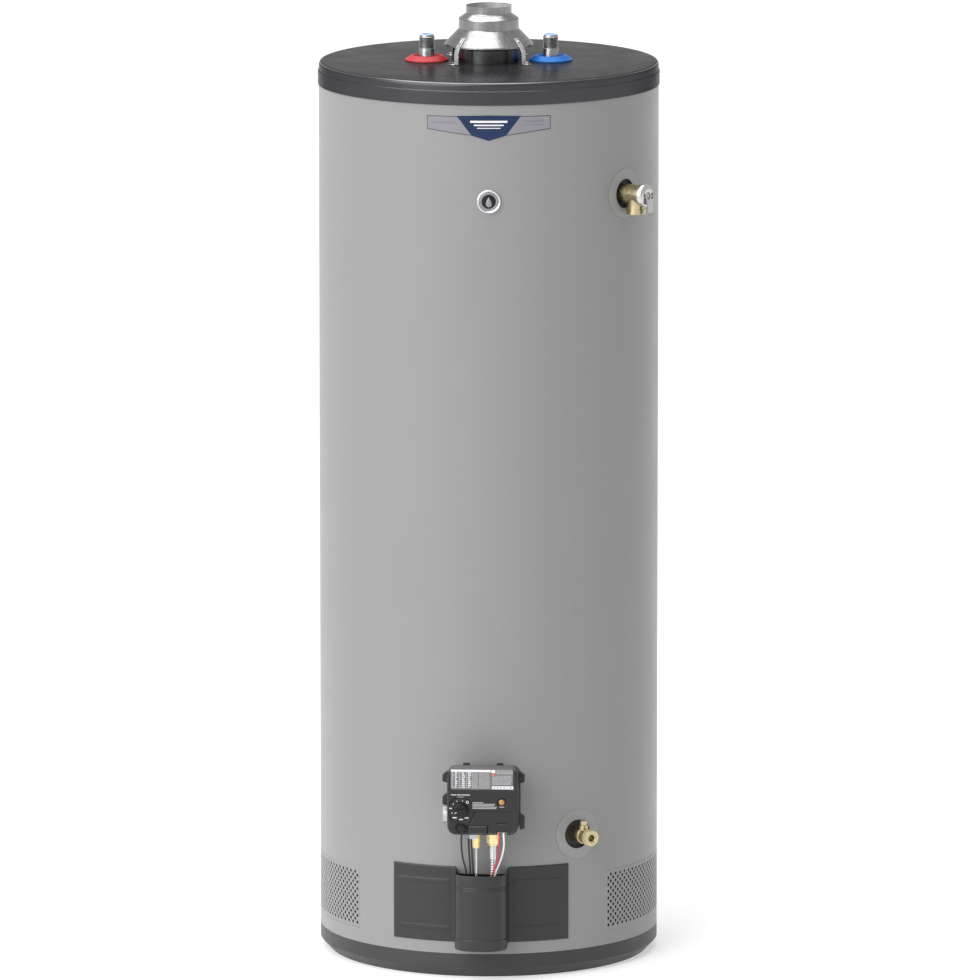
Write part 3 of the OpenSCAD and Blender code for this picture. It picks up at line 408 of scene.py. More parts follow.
def fillet(points, radii, steps=5):
    """A profile whose corners are rounded by the given radii, 0 for a sharp one."""
    out = []
    n = len(points)
    for i, (p, r) in enumerate(zip(points, radii)):
        p = Vector(p)
        if r <= 0 or i in (0, n - 1):
            out.append(tuple(p))
            continue
        a, b = Vector(points[i - 1]) - p, Vector(points[i + 1]) - p
        la, lb = a.length, b.length
        a, b = a / la, b / lb
        half = math.acos(max(-1, min(1, a.dot(b)))) / 2
        d = min(r / math.tan(half), la * 0.49, lb * 0.49)
        p0, p1 = p + a * d, p + b * d
        for k in range(steps + 1):
            t = k / steps
            out.append(tuple((1 - t) ** 2 * p0 + 2 * t * (1 - t) * p + t * t * p1))
    return out


FINE_RING = 0.55


def smooth_line(points, steps=8):
    """A smooth line through the points."""
    pts = [Vector(p) for p in points]
    path = []
    for i in range(len(pts) - 1):
        a, b, c, d = pts[max(i - 1, 0)], pts[i], pts[i + 1], pts[min(i + 2, len(pts) - 1)]
        for k in range(steps):
            t = k / steps
            path.append(0.5 * (2 * b + (c - a) * t + (2 * a - 5 * b + 4 * c - d) * t * t
                               + (3 * b - a - 3 * c + d) * t ** 3))
    path.append(pts[-1])
    return path


def tube(points, radius, sides=14, steps=8, place=IDENT, radius_at=None):
    """A smooth tube through the points; radius_at(length so far) may vary it."""
    path = smooth_line(points, steps)
    if radius_at:
        fine = [path[0]]
        for a, b in zip(path, path[1:]):
            n = max(1, int((b - a).length / FINE_RING))
            fine += [a.lerp(b, (k + 1) / n) for k in range(n)]
        path = fine
    v, f, run = [], [], 0.0
    for i, p in enumerate(path):
        if i:
            run += (p - path[i - 1]).length
        t = (path[min(i + 1, len(path) - 1)] - path[max(i - 1, 0)]).normalized()
        side = (Vector((1, 0, 0)) - t * t.x).normalized()
        up = t.cross(side)
        r = radius_at(run) if radius_at else radius
        v += [tuple(p + (side * c + up * s) * r) for c, s in polar(1, sides)]
    for i in range(len(path) - 1):
        for k in range(sides):
            a, b = i * sides + k, i * sides + (k + 1) % sides
            f.append((a, a + sides, b + sides, b))
    f.append(tuple(range(sides)))
    f.append(tuple(range((len(path) - 1) * sides, len(path) * sides))[::-1])
    return [tuple(place @ Vector(p)) for p in v], f


def round_rect(w, h, r, per, straight):
    """Outline of a rounded rectangle, with points along its corners and its straight sides."""
    x, y = w / 2 - r, h / 2 - r
    corners = [(x, y, 0), (-x, y, 90), (-x, -y, 180), (x, -y, 270)]
    pts = []

    def on_arc(cx, cy, degrees):
        a = math.radians(degrees)
        return (cx + r * math.cos(a), cy + r * math.sin(a))

    for i, (cx, cy, start) in enumerate(corners):
        pts += [on_arc(cx, cy, start + 90 * k / per) for k in range(per + 1)]
        last, end = pts[-1], on_arc(*corners[(i + 1) % 4])
        pts += [(last[0] + (end[0] - last[0]) * k / straight, last[1] + (end[1] - last[1]) * k / straight)
                for k in range(1, straight)]
    return pts


def step(x, edge, soft):
    """0 below the edge, 1 above it, with a soft ramp."""
    t = min(1, max(0, (x - edge) / soft + 0.5))
    return t * t * (3 - 2 * t)


def box_mask(x, y, x0, x1, y0, y1, soft=1.2):
    return step(x, x0, soft) * (1 - step(x, x1, soft)) * step(y, y0, soft) * (1 - step(y, y1, soft))


# ---- outer shell
CAP_STEP, CAP_HOLE_R, CAP_ROLL = 1467.0, 51.5, 6.8
cap_side, cap_edge, cap_inner = (279.4, CAP_STEP + 1.2), (279.2, CAP_TOP), (CAP_HOLE_R, CAP_TOP)
cap_points = [(280.3, JACKET_TOP), (280.9, JACKET_TOP), (280.9, CAP_STEP), cap_side, cap_edge, cap_inner,
              (CAP_HOLE_R, CAP_TOP - 1.2), (275.5, CAP_TOP - 1.3), (278.0, CAP_TOP - 4),
              (278.2, CAP_STEP + 1), (279.7, CAP_STEP - 0.6), (280.3, JACKET_TOP)]
cap_radii = [0, 0.4, 0.7, 0.5, CAP_ROLL, 0.3, 0.3, 2, 1, 0.5, 0.5, 0]
cap = Shape().lathe(fillet(cap_points, cap_radii, 8), 192, closed=True)
cap.make("cap_top", "cap_paint", replaces=["top_cap"], smooth_angle=50)

# A strip of brighter metal along the cap's upper edge paints the highlight line on its rim.
edge = fillet([cap_side, cap_edge, cap_inner], [0, CAP_ROLL, 0], 12)[6:9]
rim = Shape().lathe([(r + 0.12, z + 0.12) for r, z in edge] + [(r - 0.4, z - 0.4) for r, z in reversed(edge)],
                    192, closed=True)
rim.make("cap_rim_highlight", "rim_highlight_steel", "cap_paint", smooth_angle=60)

pan = Shape().lathe(fillet(
    [(0, 0), (262.8, 0), (279.4, 17.4), (279.4, BASE_H), (278.3, BASE_H), (278.2, 18), (262, 1.6), (0, 1.6)],
    [0, 2.2, 1.8, 0.4, 0.3, 1.5, 1.5, 0], 7), 192)
pan.make("pan_shell", "base_paint", replaces=["base_pan"], smooth_angle=50)

# The jacket's lock seam runs down the back.
seam = Shape()
fold = fillet([(-7, -0.3), (-7, 0.8), (5.5, 0.8), (6.4, 0.0), (6.4, -0.3)], [0, 0.6, 0.6, 0.3, 0], 4)
seam.prism(fold, BASE_H + 1, JACKET_TOP - 0.5, turned(2) @ Matrix.Translation((0, JACKET_R - 0.1, 0)))
seam.make("jacket_seam", "jacket_paint", smooth_angle=30)


VENT_PITCH_X, VENT_PITCH_Z, VENT_ROWS, VENT_HOLE_R = 5.8, 11.3, 8, 2.45
VENT_SHEET = 0.9


def vent_field(name, side):
    """A curved sheet with staggered round holes, which fills the opening left for it in the jacket."""
    start = VENT_START if side > 0 else -VENT_START - VENT_SPAN
    half_x, half = VENT_PITCH_X / 2, VENT_PITCH_Z / 2
    length = math.radians(VENT_SPAN) * JACKET_R
    cols = int((length - 8) // VENT_PITCH_X)
    margin = (length - cols * VENT_PITCH_X) / 2
    field_h = VENT_ROWS * VENT_PITCH_Z + half
    z_low = VENT_Z0 + (VENT_Z1 - VENT_Z0 - field_h) / 2
    v, f = [], []

    def at(u, z):
        a = math.radians(start + BURNER_AZ) + u / JACKET_R
        v.append((JACKET_R * math.sin(a), -JACKET_R * math.cos(a), z))
        return len(v) - 1

    for c in range(cols):
        u0 = margin + c * VENT_PITCH_X
        middle, u1 = u0 + half_x, u0 + VENT_PITCH_X
        if c % 2:
            z = z_low + half
            f.append((at(u0, z_low), at(u1, z_low), at(u1, z), at(middle, z), at(u0, z)))
        else:
            z = z_low + VENT_ROWS * VENT_PITCH_Z
            f.append((at(u0, z), at(middle, z), at(u1, z), at(u1, z + half), at(u0, z + half)))
        for r in range(VENT_ROWS):
            zc = z_low + (half if c % 2 else 0.0) + (r + 0.5) * VENT_PITCH_Z
            rim = [at(middle + dx * half_x, zc + dz * half)
                   for dx, dz in ((1, 0), (1, 1), (0, 1), (-1, 1), (-1, 0), (-1, -1), (0, -1), (1, -1))]
            hole = [at(middle + x, zc + y) for x, y in polar(VENT_HOLE_R, 16)]
            for k in range(8):
                f.append((rim[k], rim[(k + 1) % 8], hole[(2 * k + 2) % 16], hole[2 * k + 1], hole[2 * k]))
    # plain borders: left and right strips match the holes' half pitch, and top and bottom match the columns
    for u0, u1 in ((0, margin), (margin + cols * VENT_PITCH_X, length)):
        for k in range(2 * VENT_ROWS + 1):
            z0, z1 = z_low + k * half, z_low + (k + 1) * half
            f.append((at(u0, z0), at(u1, z0), at(u1, z1), at(u0, z1)))
    edges = [0, margin] + [margin + (c + 1) * VENT_PITCH_X for c in range(cols)] + [length]
    for z0, z1 in ((VENT_Z0, z_low), (z_low + field_h, VENT_Z1)):
        for a, b in zip(edges, edges[1:]):
            f.append((at(a, z0), at(b, z0), at(b, z1), at(a, z1)))
    screen = "right_vent_screen" if side > 0 else "left_vent_screen"
    add(name, v, f, "jacket_paint", replaces=[screen], solidify=VENT_SHEET, smooth_angle=60)


vent_field("vent_holes_left", -1)
vent_field("vent_holes_right", 1)

# ---- draft hood
TOP = CAP_TOP
hood_out = raised(TOP, [(73.0, 26), (73.0, 28.6), (49.5, 53), (49.5, 70), (37.5, 78.5), (37.5, 91)])
hood_in = [(x - 0.9, z - (0 if i in (0, 5) else 0.35)) for i, (x, z) in enumerate(hood_out)][::-1]
hood_profile = fillet(hood_out, [0, 1.4, 2.6, 2.4, 2.4, 0], 6)
hood_profile += fillet(hood_in, [0, 2.0, 2.0, 2.2, 1.2, 0], 6)
hood = Shape().lathe(hood_profile, 128, closed=True)
# a turned hem at the skirt and a bead on the upper collar
hood.lathe([(72.4 + x, TOP + 26.4 + y) for x, y in polar(0.75, 10)], 128, closed=True)
hood.lathe([(36.9 + x, TOP + 90.3 + y) for x, y in polar(0.6, 8)], 96, closed=True)
hood.make("hood_shell", "galvanised", replaces=["draft_hood"], smooth_angle=60)

# The inside of the upper collar is dull zinc, lighter than the polished outside.
throat = Shape().lathe(raised(TOP, [(36.7, 79), (36.7, 90.2), (36.4, 90.2), (36.4, 79)]), 96, closed=True)
throat.make("hood_throat", "zinc_dull", "galvanised", smooth_angle=60)

LEG_AZ = [math.radians(45 + 90 * k + 2) for k in range(4)]
RIVET_R, RIVET_Z = 66.0, TOP + 36.0
CONE_TILT = math.atan2(24.4, 23.5)
rivets = Shape()
for a in LEG_AZ:
    out = Vector((math.sin(a), -math.cos(a), 0))
    normal = out * math.sin(CONE_TILT) + Vector((0, 0, math.cos(CONE_TILT)))
    centre = out * RIVET_R + Vector((0, 0, RIVET_Z - 0.4)) + normal * 0.6
    place = Matrix.Translation(centre) @ normal.to_track_quat("Z", "Y").to_matrix().to_4x4()
    rivets.lathe([(2.6, 0), (2.6, 0.9), (2.2, 1.5), (1.3, 2.0), (0.0, 2.2)], 18, place)
rivets.make("hood_rivets", "strap_steel", "galvanised")

soften("draft_hood_legs", 0.35)

HOOD_SCREW_R = 85
screws = Shape()
for k, a in enumerate(LEG_AZ):
    x, y = HOOD_SCREW_R * math.sin(a), -HOOD_SCREW_R * math.cos(a)
    place = Matrix.Translation((x, y, TOP)) @ Matrix.Rotation(0.4 * k, 4, "Z")
    screws.lathe([(2.0, 0.2), (2.0, 1.25), (4.4, 1.3), (4.3, 1.75), (3.4, 2.1)], 28, place)
    screws.prism(polar(3.5, 6), 2.0, 4.4, place)
screws.make("hood_screw_heads", "screw_zinc", replaces=["draft_hood_screws"], bevel=0.3,
            smooth_angle=35)


# ---- nipples and rings
NIPPLE_R, NIPPLE_THREAD_R, NIPPLE_BORE_R, NIPPLE_FOOT, THREAD_PITCH = 13.3, 12.8, 9.75, 1466, 1.81


def nipple(name, x, node):
    """A pipe nipple: a plain lower part and a threaded end."""
    top, root = TOP + 42, NIPPLE_THREAD_R - 1.05
    prof = [(NIPPLE_BORE_R, NIPPLE_FOOT), (NIPPLE_R, NIPPLE_FOOT), (NIPPLE_R, TOP + 19.2),
            (NIPPLE_R - 0.25, TOP + 20.2), (NIPPLE_THREAD_R - 1.0, TOP + 21.2)]
    z = TOP + 21.6
    while z < top - 2.6:
        prof += [(root, z), (NIPPLE_THREAD_R, z + 0.75), (NIPPLE_THREAD_R, z + 0.95), (root, z + 1.7)]
        z += THREAD_PITCH
    prof += [(NIPPLE_THREAD_R - 1.0, top - 1.6), (NIPPLE_THREAD_R - 1.7, top), (NIPPLE_BORE_R, top)]
    Shape().lathe(prof, 48, Matrix.Translation((x, 0, 0)), closed=True).make(
        name, "nipple_steel", replaces=[node], smooth_angle=28)


nipple("hot_pipe_nipple", -NIPPLE_X, "hot_nipple")
nipple("cold_pipe_nipple", NIPPLE_X, "cold_nipple")


def colour_ring(name, x, mat, node):
    """A dished ring: a rounded lip on top and a well around the nipple."""
    points = [(13.6, 0.1), (36.2, 0.1), (36.2, 2.0), (26.4, 8.4), (24.8, 9.0), (23.4, 8.4), (20.5, 4.6),
              (13.6, 3.6), (13.6, 0.1)]
    prof = [(r, TOP + z) for r, z in fillet(points, [0, 0.3, 0.9, 1.0, 1.2, 1.0, 2.4, 0.3, 0], 6)]
    Shape().lathe(prof, 96, Matrix.Translation((x, 0, 0)), closed=True).make(
        name, mat, replaces=[node], smooth_angle=45)


colour_ring("hot_colour_ring", -NIPPLE_X, "red_plastic", "hot_ring")
colour_ring("cold_colour_ring", NIPPLE_X, "blue_plastic", "cold_ring")

# ---- badges
BADGE_TOP = JACKET_TOP - 18
PLATE_STRIPS = 24


def wrap(x, z, lift):
    a = math.asin(x / JACKET_R)
    r = JACKET_R + lift
    return (r * math.sin(a), -r * math.cos(a), z)


def wrapped_plate(name, outline, lift0, lift1, mat, slot=None, **kw):
    """A thin plate on the jacket, whose outline is in x and height. Strips across its face let it curve."""
    bm = bmesh.new()
    vs = [bm.verts.new((x, z, 0)) for x, z in outline]
    bm.faces.new(vs)
    xs = [round(x, 3) for x, _ in outline]
    for k in range(1, PLATE_STRIPS):
        cut = (min(xs) + (max(xs) - min(xs)) * k / PLATE_STRIPS, 0, 0)
        bmesh.ops.bisect_plane(bm, geom=bm.verts[:] + bm.edges[:] + bm.faces[:], plane_co=cut,
                               plane_no=(1, 0, 0))
    verts = [tuple(v.co) for v in bm.verts]
    for i, v in enumerate(bm.verts):
        v.index = i
    faces = [[v.index for v in fc.verts] for fc in bm.faces]
    sides = [(a, b) for fc in faces for a, b in zip(fc, fc[1:] + fc[:1])]
    known = set(sides)
    border = [(a, b) for a, b in sides if (b, a) not in known]
    bm.free()
    n = len(verts)
    v3 = [wrap(x, z, lift1) for x, z, _ in verts] + [wrap(x, z, lift0) for x, z, _ in verts]
    f3 = faces + [[i + n for i in reversed(fc)] for fc in faces] + [[b, a, a + n, b + n] for a, b in border]
    return add(name, v3, f3, mat, slot, **kw)


def wrapped_bar(shape, x0, x1, z, tall, lift0, lift1):
    """A thin bar that follows the jacket, from x0 to x1 with its middle at height z."""
    n = 10
    xs = [x0 + (x1 - x0) * k / n for k in range(n + 1)]
    rows = [(z + tall / 2, lift1), (z - tall / 2, lift1), (z - tall / 2, lift0), (z + tall / 2, lift0)]
    v = [wrap(x, height, lift) for height, lift in rows for x in xs]
    m = n + 1
    f = [(r * m + k, r * m + k + 1, (r + 1) % 4 * m + k + 1, (r + 1) % 4 * m + k)
         for r in range(4) for k in range(n)]
    f += [(0, m, 2 * m, 3 * m), (n, 3 * m + n, 2 * m + n, m + n)]
    shape.put(v, f)


def wing_outline(inset):
    x, top, side, low = 100 - inset, BADGE_TOP - inset, BADGE_TOP - 22 + inset, BADGE_TOP - 31 + inset
    return [(-x, top), (x, top), (x, side), (30, low), (-30, low), (-x, side)]


BADGE = BADGE_TOP
wrapped_plate("badge_outline", wing_outline(0), 0.1, 0.36, "badge_line", "badge_silver",
              replaces=["name_badge"])
wrapped_plate("badge_wings", wing_outline(1.1), 0.3, 0.47, "badge_silver")
shield = raised(BADGE, [(-52, 0.6), (0, 2), (52, 0.6), (28, -31), (0, -39.5), (-28, -31)])
wrapped_plate("badge_centre", shield, 0.45, 0.8, "badge_blue", replaces=["badge_shield"], bevel=0.15)
bars = Shape()
for down, half, tall in ((8.4, 30, 3.4), (14.2, 24, 2.2), (19.0, 19, 1.3)):
    wrapped_bar(bars, -half, half, BADGE - down, tall, 0.7, 0.93)
bars.make("badge_bars", "badge_white", "badge_silver")
wing_bars = Shape()
for x0, x1, down, tall in ((-93, -55, 10.6, 2.4), (60, 90, 8.4, 2.4), (58, 92, 14.2, 1.2)):
    wrapped_bar(wing_bars, x0, x1, BADGE - down, tall, 0.4, 0.56)
wing_bars.make("badge_wing_bars", "badge_grey", "badge_silver")

EMBLEM = outward(0, JACKET_R, 1288)
emblem = Shape().lathe([(0, -1.2), (19.2, -1.2), (19.4, 0.0), (19.4, 2.4), (18.8, 3.3), (17.7, 3.6),
                        (16.5, 3.3), (15.9, 2.2), (15.6, 1.9), (0, 1.9)], 72, EMBLEM)
emblem.make("emblem_rim", "emblem_chrome", replaces=["round_emblem"], smooth_angle=50)
ring_profile = [(0, 1.7), (15.5, 1.7), (15.5, 2.05), (15.2, 2.3), (12.0, 2.4), (11.6, 2.1), (0, 2.1)]
ring = Shape().lathe(ring_profile, 60, EMBLEM)
ring.make("emblem_ring", "emblem_silver", "emblem_chrome", smooth_angle=50)
face = Shape().lathe([(0, 1.9), (11.6, 1.9), (11.6, 2.2), (11.3, 2.35), (0, 2.6)], 60, EMBLEM)
face.make("emblem_face", "emblem_dark", "emblem_chrome", smooth_angle=50)

# a plain water drop, domed in rings that shrink towards its top
DROP_POINTS, DROP_W, DROP_H = 48, 6.6, 8.4
turns = [2 * math.pi * k / DROP_POINTS for k in range(DROP_POINTS)]
drop = [(DROP_W * math.sin(t) * math.sin(t / 2) ** 1.4, DROP_H * math.cos(t) - 0.4) for t in turns]
drop_shape = Shape()
m = len(drop)
rings = [(1.0, 2.0), (1.0, 2.75), (0.93, 3.1), (0.7, 3.35), (0.35, 3.5)]
top_ring = (len(rings) - 1) * m
v = [(x * size, (y + 2) * size - 2, z) for size, z in rings for x, y in drop] + [(0, -2, 3.55)]
f = bands(len(rings) - 1, m)
f += [(top_ring + k, top_ring + (k + 1) % m, top_ring + m) for k in range(m)]
f.append(tuple(range(m))[::-1])
drop_shape.put(v, f, EMBLEM).make("emblem_drop", "emblem_silver", "emblem_chrome", smooth_angle=40)

# ---- relief valve
for name, width in (("relief_valve_body", 0.4), ("relief_lever", 0.25), ("relief_lever_pin", 0.2)):
    soften(name, width)
smooth(frame["nodes"]["relief_valve_bonnet"])

# ---- drain valve
DRAIN = outward(DRAIN_AZ, 0, DRAIN_Z)
SKIN = JACKET_R
OUTLET_R, OUTLET_ROOT, OUTLET_PITCH = 13.5, 12.0, 1.9
prof = [(5.5, 231), (12.0, 231)]
prof += raised(SKIN, [(12.0, -6), (13.0, -5.6), (13.2, -4.9), (13.2, 19.4), (12.8, 20.0), (11.7, 20.3),
                      (11.7, 35.0)])
z = SKIN + 35.2
while z < SKIN + 43.6:
    prof += [(OUTLET_ROOT, z), (OUTLET_R, z + 0.6), (OUTLET_R, z + 0.9), (OUTLET_ROOT, z + 1.5)]
    z += OUTLET_PITCH
prof += raised(SKIN, [(13.0, 44.2), (12.6, 45.0), (8.0, 45.0), (7.5, 44.5), (7.5, 43.5), (5.5, 43.3)])
drain = Shape().lathe(prof, 56, DRAIN, closed=True)
drain.prism(polar(15.6, 6), SKIN - 14, SKIN - 6.2, DRAIN)
neck = DRAIN @ Matrix.Translation((0, 0, SKIN + 18)) @ Matrix.Rotation(-math.pi / 2, 4, "X")
drain.lathe([(4.06, 9.0), (7.5, 9.0), (7.5, 17.5), (4.06, 17.5)], 40, neck, closed=True)
drain.make("drain_body", "brass", replaces=["drain_valve_body"], bevel=0.2, smooth_angle=30)
soften("drain_valve_stem", 0.5, 3)

# Near-black rings close the jacket's holes around both valves; their dark colour paints the shade inside the
# holes.
HOLE_SHADE_RINGS = (("relief_hole_seal", RELIEF_AZ, RELIEF_Z, 16.2), ("drain_hole_seal", DRAIN_AZ, DRAIN_Z, 13.4))
for name, az, height, hole in HOLE_SHADE_RINGS:
    prof = raised(SKIN, [(hole, -9), (24.9, -9), (24.9, -1.1), (23.4, -1.1), (23.4, -4.2), (hole, -4.2)])
    Shape().lathe(prof, 48, outward(az, 0, height), closed=True).make(name, "grommet_rubber")

# ---- gas control
BACK = control()
FRONT = CONTROL_FRONT - CONTROL_BACK
SEAM = CONTROL_SEAM - CONTROL_BACK
KNOB = (-35.6, -16.3)
LENS = (31.3, -3.0)
BUTTON = (-35.2, -46.0)
FIELD_TOP = -19.0


def rounded_mask(x, y, cx, cy, half_w, half_h, r, soft):
    """1 inside a rounded rectangle, 0 outside it."""
    dx, dy = max(0, abs(x - cx) - half_w + r), max(0, abs(y - cy) - half_h + r)
    return 1 - step(math.hypot(dx, dy), r, soft)


def round_dip(x, y, centre, r, soft):
    """1 inside a circle, 0 outside it."""
    return 1 - step(math.hypot(x - centre[0], y - centre[1]), r, soft)


def groove(distance, width, depth):
    return depth * math.exp(-(distance / width) ** 2)


def face_height(x, y):
    """Relief of the cover's front, in millimetres below its highest plane."""
    h = -0.9 * rounded_mask(x, y, -0.6, 35, 53.4, 18.2, 4, 1.2)
    h -= 1.6 * round_dip(x, y, KNOB, 21.5, 1.4)
    # a lower field at the right, edged by a slanted and a level line
    slant = (x - 0.526 * (y - FIELD_TOP) + 11) / 1.13
    h -= 1.2 * step(slant, 0, 1.2) * box_mask(x, y, -100, 51.5, -54.5, FIELD_TOP)
    if y < FIELD_TOP:
        h -= groove(slant, 0.9, 0.9)
    if slant > 0 and x < 52:
        h -= groove(y - FIELD_TOP, 0.9, 0.8)
    # the raised pocket at the bottom, with a groove around it
    outer = rounded_mask(x, y, -8.4, -49.6, 17.6, 7.6, 2.5, 0.9)
    inner = rounded_mask(x, y, -8.4, -49.6, 15.9, 5.9, 2.0, 0.9)
    h += 1.2 * inner - 1.3 * (outer - inner)
    h -= 2.4 * box_mask(x, y, 24.0, 40.0, -40.2, -37.6, 0.9)
    h -= 1.6 * round_dip(x, y, BUTTON, 8.2, 1.2)
    h -= 1.6 * round_dip(x, y, LENS, 7.0, 1.2)
    return h


COVER_W, COVER_H, COVER_MID = 115.5, 111.0, -2.5
EDGE_ROLL, EDGE_DEPTH = 3.2, 6.0
COVER_RINGS = 84
NOTCH_X0, NOTCH_X1, NOTCH_TOP = 23.5, 40.5, -50.5


def control_cover():
    """The cover is a height field on rings that shrink from its rounded outline to its middle."""
    outline = round_rect(COVER_W, COVER_H, 14, 14, 76)
    n = len(outline)
    half = COVER_W / 2
    levels = [(SEAM + 8.0, 2.4), (SEAM + 0.2, 2.4), (SEAM + 0.2, 0.3), (SEAM + 0.6, 0.0)]
    levels.append((FRONT - EDGE_DEPTH, 0.0))
    for a in (15, 30, 45, 60, 75, 90):
        q = math.radians(a)
        levels.append((FRONT - EDGE_DEPTH + EDGE_DEPTH * math.sin(q), EDGE_ROLL * (1 - math.cos(q))))
    rings = [(z, 1 - inset / half, z >= FRONT - 1e-6) for z, inset in levels]
    rings += [(FRONT, rings[-1][1] * (1 - i / COVER_RINGS), True) for i in range(1, COVER_RINGS)]
    v = []
    for z, k, on_face in rings:
        for x, y in outline:
            px, py = x * k, y * k + COVER_MID
            v.append((px, py, z + (face_height(px, py) if on_face else 0)))
    last = (len(rings) - 1) * n
    f = bands(len(rings) - 1, n)
    v.append((0, COVER_MID, FRONT + face_height(0, COVER_MID)))
    f += [(last + k, last + (k + 1) % n, len(v) - 1) for k in range(n)]

    def in_wire_notch(face):
        x, y, z = (sum(v[i][axis] for i in face) / len(face) for axis in range(3))
        return NOTCH_X0 < x < NOTCH_X1 and y < NOTCH_TOP and z > SEAM

    front = [face for face in f if not in_wire_notch(face)]
    add("control_front", v, front, "control_plastic", place=BACK, replaces=["gas_control_cover"],
        smooth_angle=50)


control_cover()
notch = Shape()
for x in (23.0, 40.0):
    notch.block((x, -57.6, SEAM + 0.4), (x + 1.0, -49.6, FRONT - 2.5), BACK)
notch.block((23.0, -50.6, SEAM + 0.4), (41.0, -49.6, FRONT - 1.8), BACK)
notch.block((23.5, -57.4, SEAM + 2), (40.5, -50.0, SEAM + 3), BACK)
notch.make("control_wire_notch", "housing_plastic", "control_plastic", bevel=0.2)

# A white strip between the clips at the right paints the highlight along the seam between cover and housing.
Shape().block((57.6, -6.5, SEAM - 13), (59.2, 28.8, SEAM - 11), BACK).make(
    "housing_seam_highlight", "mark_white", "control_plastic")

FACE = control(CONTROL_FRONT)
label_outline = round_rect(102, 33.2, 2.5, 5, 2)
label = Shape().prism(label_outline, -0.6, 0.0, FACE @ Matrix.Translation((-1.0, 34.6, 0)))
label.make("label_plate", "label_plastic", replaces=["control_label_plate"], bevel=0.15)


def bar(shape, x0, y0, x1, y1, height=0.0):
    """A flat printed bar, a hair above the surface."""
    shape.block((x0, y0, height - 0.05), (x1, y1, height + 0.12), FACE)


def dashes(shape, x0, x1, y, tall, low=1.2, high=4.5):
    """A row of plain dashes of uneven length, which stands for a line of print."""
    x = x0
    while x < x1 - low:
        end = min(x1, x + rng.uniform(low, high))
        bar(shape, x, y, end, y + tall)
        x = end + rng.uniform(0.5, 0.9)


rng = random.Random(11)
white, grey, orange = Shape(), Shape(), Shape()
bar(white, -51.5, 47.2, 13.4, 50.8)
bar(white, 15.5, 19.0, 50.3, 23.8)
for x in range(6):
    bar(grey, 18.0 + 5.4 * x, 20.2, 20.6 + 5.4 * x, 22.6)
bar(orange, 14.4, 40.4, 20.8, 45.6)
bar(white, 14.4, 45.8, 20.8, 50.8)
bar(white, 16.6, 41.6, 18.6, 44.6)
for y in (49.0, 46.6, 44.2):
    dashes(grey, 22.5, 50.0, y, 1.2, 3.0, 9.0)
TABLE = ((-50.5, -46.3, grey), (-44.8, -40.7, white), (-39.0, -35.4, grey), (-33.6, -28.4, white),
         (-26.9, -24.6, grey), (-23.4, -18.8, white), (-17.3, -7.2, grey), (-5.4, 11.8, grey))
ROW_PITCH, FINE_PITCH = 3.35, 1.95
for row in range(8):
    y = 44.2 - ROW_PITCH * row
    for x0, x1, tone in TABLE:
        if x1 - x0 < 6:
            dashes(tone, x0, x1, y, 1.9, 1.6, 5.0)
        else:
            dashes(tone, x0, x1, y + 1.0, 0.9, 1.0, 3.5)
            dashes(tone, x0, x1, y - 0.6, 0.9, 1.0, 3.5)
for row in range(8):
    dashes(grey, 16.0, 47.5, 40.0 - FINE_PITCH * row, 1.1, 1.0, 4.0)


def cover_bar(x0, y0, x1, y1):
    """A bar on the cover's own relief."""
    bar(grey, x0, y0, x1, y1, face_height((x0 + x1) / 2, (y0 + y1) / 2))


# Small plain bars in place of the writing on the cover.
for x, w in ((-51.5, 9), (-41.5, 6), (-34.5, 14)):
    cover_bar(x, 8.0, x + w, 9.9)
cover_bar(-47, 5.0, -22, 6.2)
for i, w in enumerate((18, 37, 36, 40, 39)):
    cover_bar(-16.5, -4.4 - 2.35 * i, -16.5 + w, -3.2 - 2.35 * i)
cover_bar(27.4, -11.2, 35.2, -10.0)
# Dial marks: angle clockwise from the top, distance from the knob's axis, width and height
DIAL_MARKS = ((11, 15.3, 1.2, 1.8), (-23, 15.3, 1.2, 1.8), (-52, 15.3, 1.8, 1.2), (-82, 17.2, 5.4, 1.6),
              (-111, 15.0, 1.8, 1.2), (-143, 16.4, 7.0, 1.8), (178, 15.8, 6.0, 1.8), (144, 16.4, 6.4, 1.8))
MARK_LOW, MARK_HIGH = -1.65, -1.48
for angle, reach, w, h in DIAL_MARKS:
    a = math.radians(angle)
    x, y = KNOB[0] + reach * math.sin(a), KNOB[1] + reach * math.cos(a)
    white.block((x - w / 2, y - h / 2, MARK_LOW), (x + w / 2, y + h / 2, MARK_HIGH), FACE)
white.lathe([(1.4, MARK_LOW), (2.4, MARK_LOW), (2.4, MARK_HIGH), (1.4, MARK_HIGH)], 24,
            FACE @ Matrix.Translation((KNOB[0] + 10.8, KNOB[1] + 12.9, 0)), closed=True)
white.make("control_marks_white", "mark_white", "label_plastic")
grey.make("control_marks_grey", "mark_grey", "label_plastic")
orange.make("control_marks_orange", "mark_orange", "label_plastic")

knob_place = FACE @ Matrix.Translation((KNOB[0], KNOB[1], 0))
KNOB_FLUTES, FLUTE_DEPTH, KNOB_SEGS = 40, 0.35, 160
KNOB_SHAFT_R, KNOB_SHAFT_END = 4.05, -20


def fluted(r, angle):
    """Fine flutes around the knob's skirt."""
    dent = FLUTE_DEPTH * (0.5 + 0.5 * math.cos(angle * KNOB_FLUTES))
    return r - dent if r > 11.5 else r


